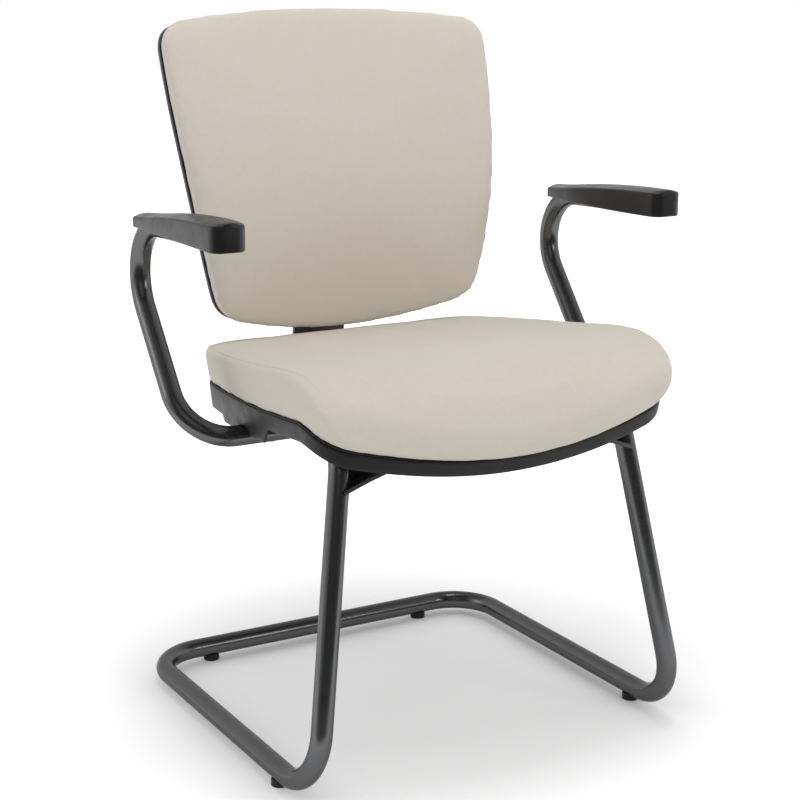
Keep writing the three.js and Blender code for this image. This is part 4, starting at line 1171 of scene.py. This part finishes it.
def add_arm_pad(name, side):
    spacing = [1 - cos(i / PAD_END_STEPS * pi / 2) for i in range(PAD_END_STEPS + 1)]
    rear = [PAD_REAR_PLAN_RADIUS * share for share in spacing]
    front = [PAD_LENGTH - PAD_FRONT_PLAN_RADIUS * share for share in reversed(spacing)]
    bed_end = ARM_TIP_SETBACK + PLUG_FLANGE + 2 * TOUCH_GAP - PAD_REAR_END
    reaches = rear + list(np.linspace(rear[-1], bed_end, PAD_LENGTH_STEPS)[1:])
    rings = [pad_section(side, reach, True) for reach in reaches]
    ahead = [bed_end, (bed_end + front[0]) / 2] + [reach for reach in front if reach > bed_end]
    rings += [pad_section(side, reach, False) for reach in ahead]
    first, last = (sum(ring, Vector()) / len(ring) for ring in (rings[0], rings[-1]))
    solid_piece(f"arm_pad_top_{name}", first, rings, last, "pad_plastic", [f"arm_pad_{name}"], crisp=40)


# Back
BACK_LINE = SideLine(-BACK_FOOT_SETBACK, BACK_FOOT_HEIGHT, radians(90), BACK_STRAIGHT, BACK_LEAN,
                     BACK_BEND_RADIUS)


def back_point(p, forward):
    y, z, heading = BACK_LINE.at(p.y)
    bow = BACK_FOOT_BOW + (BACK_HEAD_BOW - BACK_FOOT_BOW) * p.y / BACK_HEIGHT
    across = p.x / BACK_HEAD_HALF_WIDTH
    reach = forward + bow * across * across
    return place(p.x, y - reach * sin(heading), z - reach * cos(heading))


BACK_CORNERS = four_corners(BACK_FOOT_HALF_WIDTH, BACK_CORNER_FOOT, BACK_HEAD_HALF_WIDTH, BACK_CORNER_HEAD)
BACK = Sheet(rounded_outline(BACK_CORNERS, BACK_BULGES, BACK_SETBACKS, BACK_EDGE_STEPS, CORNER_STEPS),
             Vector((0, BACK_HEIGHT / 2)), back_point)


def add_back_cushion():
    inset = BACK_SHELL_WALL + TOUCH_GAP
    foot = BACK_SHELL_LIP + BACK_GROOVE
    rings = [BACK.drawn(inset, foot - SEAM_INSET)]
    for bulge_share, height_share in SIDE_RING_SHARES:
        height = foot + height_share * (BACK_PAD_EDGE - foot)
        rings.append(BACK.drawn(-bulge_share * BACK_PAD_BULGE, height))
    for share in CROWN_RING_SHARES:
        rings.append(BACK.scaled(share, BACK_PAD_EDGE + BACK_PAD_CROWN * (1 - share * share)))
    rings = [BACK.drawn(inset, TOUCH_GAP)] + smooth_rings(rings, CUSHION_RING_STEPS)
    cushion_piece("back_cover", BACK.pole(TOUCH_GAP), rings, BACK.pole(BACK_PAD_EDGE + BACK_PAD_CROWN),
                  ["back_cushion"], BACK_CUSHION_START, BACK_CUSHION_CAP)


def add_back_shell():
    wall, rim, radius, lip = BACK_SHELL_WALL, BACK_RIM, BACK_RIM_RADIUS, BACK_SHELL_LIP
    edge, softened = BACK_LIP_EDGE, BACK_LIP_EDGE * EDGE_SOFTENING
    rounding = [(radius * (1 - sin(t)) - rim, radius * (1 - cos(t)) - wall)
                for t in np.linspace(0, pi / 2, 6)]
    # How far in and how far forward each ring of the edge lies
    lip_rows = [(-rim, lip - edge), (softened - rim, lip - softened), (edge - rim, lip),
                (wall - edge, lip), (wall, lip - edge), (wall, 0)]
    rings = [
        *(BACK.scaled(share, -wall) for share in BACK_SHELL_SHARES),
        *(BACK.drawn(*row) for row in rounding + lip_rows),
        *(BACK.scaled(share, 0) for share in reversed(BACK_SHELL_SHARES)),
    ]
    solid_piece("back_shell_cover", BACK.pole(-wall), rings, BACK.pole(0), "shell_plastic", ["back_shell"],
                crisp=50)


# Spine
def spine_stations():
    front = under_seat(SPINE_FRONT_END, SPINE_DEPTH)
    upright = REAR_BAR_Y - SPINE_REAR_FACE - SPINE_THICKNESS / 2
    corner = Vector((0, upright, front.z - tan(SEAT_RISE) * (upright - front.y)))
    shell_rear = back_point(Vector((0, SPINE_TOP_RISE)), -BACK_SHELL_WALL)
    top = shell_rear + Vector((0, SPINE_TOP_GAP + SPINE_THICKNESS / 2, 0))
    return bent_route([front, corner, top], [SPINE_BEND_RADIUS])


def add_spine():
    half_width = SPINE_WIDTH / 2 - SPINE_EDGE_RADIUS
    half_thickness = SPINE_THICKNESS / 2 - SPINE_EDGE_RADIUS
    section = []
    for turn, (x_side, z_side) in enumerate([(1, 1), (-1, 1), (-1, -1), (1, -1)]):
        section += quarter(x_side * half_width, z_side * half_thickness, SPINE_EDGE_RADIUS, turn, 3)
    stations = spine_stations()
    rings = sweep(stations, section, Vector((1, 0, 0)))
    solid_piece("spine_bar", stations[0][0], rings, stations[-1][0], "frame_paint", ["back_spine"],
                crisp=40)


# Glides, bolts and the rest
def add_glide(name):
    low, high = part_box(f"glide_{name}")
    centre = (low + high) / 2
    base = Vector((centre.x, centre.y, 0))
    chamfer, radius, edge = GLIDE_CHAMFER, GLIDE_RADIUS, GLIDE_EDGE
    softened = chamfer * EDGE_SOFTENING
    screw = GLIDE_SCREW_HEAD + TOUCH_GAP
    recess = FLOOR_CLEARANCE * GLIDE_RECESS_SHARE
    profile = [(screw, recess), (screw, edge), (screw + edge, 0), (radius - chamfer, 0),
               (radius - softened, softened), (radius, chamfer), (radius, FLOOR_CLEARANCE - chamfer)]
    sides = SOCKET_SIDES * 2
    rings = [[base + Vector((x, y, height)) for x, y in circle(r, sides)] for r, height in profile]
    for share in GLIDE_TOP_SHARES:
        ring = []
        for x, y in circle(radius * share, sides):
            across = y if name.startswith("rear") else x
            hug = FRAME_HEIGHT - sqrt((TUBE_RADIUS + TOUCH_GAP) ** 2 - across * across)
            height = min(hug, FLOOR_CLEARANCE + GLIDE_HUG)
            if share == 1:
                height -= edge
            ring.append(base + Vector((x, y, height)))
        rings.append(ring)
    top = base + UP * (FLOOR_CLEARANCE - TOUCH_GAP)
    solid_piece(f"glide_foot_{name}", base + UP * recess, rings, top, "black_plastic", [f"glide_{name}"],
                crisp=30)


def hexagon(radius, sides):
    """A hexagon's outline drawn with as many points as the rings around it."""
    points = []
    for i in range(sides):
        angle = 2 * pi * i / sides
        within = (angle + pi / 6) % (pi / 3) - pi / 6
        reach = radius * cos(pi / 6) / cos(within)
        points.append((reach * cos(angle), reach * sin(angle)))
    return points


def socket_head(name, node, base, axis, length):
    """A bolt with a rounded head and a hexagon socket. Its head lies before the base."""
    turn = UP.rotation_difference(axis)

    def at(x, y, height):
        return base + turn @ Vector((x, y, height))

    head, high, edge = BOLT_HEAD_RADIUS, BOLT_HEAD_HEIGHT, BOLT_EDGE_RADIUS
    socket = hexagon(BOLT_SOCKET_RADIUS, SOCKET_SIDES)
    rows = [(head - edge * (1 - sin(t)), edge * (1 - cos(t)) - high)
            for t in np.linspace(0, pi / 2, 5)]
    rows += [(head, 0), (BOLT_SHANK_RADIUS, 0), (BOLT_SHANK_RADIUS, length)]
    outlines = [(socket, BOLT_SOCKET_DEPTH - high), (socket, -high)]
    outlines += [(circle(radius, SOCKET_SIDES), height) for radius, height in rows]
    rings = [[at(x, y, height) for x, y in outline] for outline, height in outlines]
    solid_piece(name, at(0, 0, BOLT_SOCKET_DEPTH - high), rings, at(0, 0, length), "zinc_steel", [node],
                crisp=30)


def add_back_bolts():
    """Bolts in the rear face of the spine's top, each where the frame has it."""
    stations = spine_stations()
    top = stations[-1][0]
    heading = (top - stations[-2][0]).normalized()
    out = Vector((0, heading.z, -heading.y))
    face = top + out * SPINE_THICKNESS / 2
    for i in range(1, 5):
        low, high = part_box(f"back_bolt_{i}")
        height = low.z + BOLT_HEAD_RADIUS * out.y - BOLT_HEAD_HEIGHT * out.z
        base = face - heading * ((face.z - height) / heading.z)
        base.x = (low.x + high.x) / 2
        length = (base.y - low.y - BOLT_SHANK_RADIUS * abs(out.z)) / out.y
        socket_head(f"back_bolt_head_{i}", f"back_bolt_{i}", base, -out, length)


# Bevels on carried-over nodes, where their edges show
BEVELS = {"front_cross_plate": 0.6 * MM, "rear_cross_plate": 0.6 * MM, "leg_arch_bar": 0.8 * MM,
          "back_bracket": 1.5 * MM}
BEVEL_ANGLE = radians(50)


def dress_carried_nodes():
    """Carried-over nodes get their materials, and softened edges where they show."""
    slots = {entry["node"]: entry["material_slot"] for entry in frame["record"]["subparts"]}
    for node, piece in frame["nodes"].items():
        if piece.hide_render:
            continue
        piece.data.materials.clear()
        piece.data.materials.append(MATERIALS[slots[node]])
        if node in BEVELS:
            modifier = piece.modifiers.new("soft_edges", "BEVEL")
            modifier.width = BEVELS[node]
            modifier.segments = 2
            modifier.limit_method = "ANGLE"
            modifier.angle_limit = BEVEL_ANGLE
            modifier.harden_normals = False


add_camera()
add_world()
add_lamps()
add_floor()
MATERIALS = make_materials()

add_seat_cushion()
# Painted shade bands in the joints below the seat and back covers
add_seam_shade("seat_seam_shade", SEAT, TOUCH_GAP / 3, SEAT_SEAM_SHADE_TOP)
add_back_cushion()
add_seam_shade("back_seam_shade", BACK, BACK_SHELL_LIP, BACK_SHELL_LIP + BACK_GROOVE)
add_seat_pan()
add_back_shell()
tube_piece("sled_frame", sled_stations(), "sled_tube")
for side_name, side_sign in (("left", -1), ("right", 1)):
    tube_piece(f"arm_frame_{side_name}", arm_stations(side_sign), f"arm_tube_{side_name}")
    add_arm_pad(side_name, side_sign)
add_spine()
add_back_bolts()
for glide_name in ("rear_left", "rear_right", "front_left", "front_right"):
    add_glide(glide_name)
dress_carried_nodes()
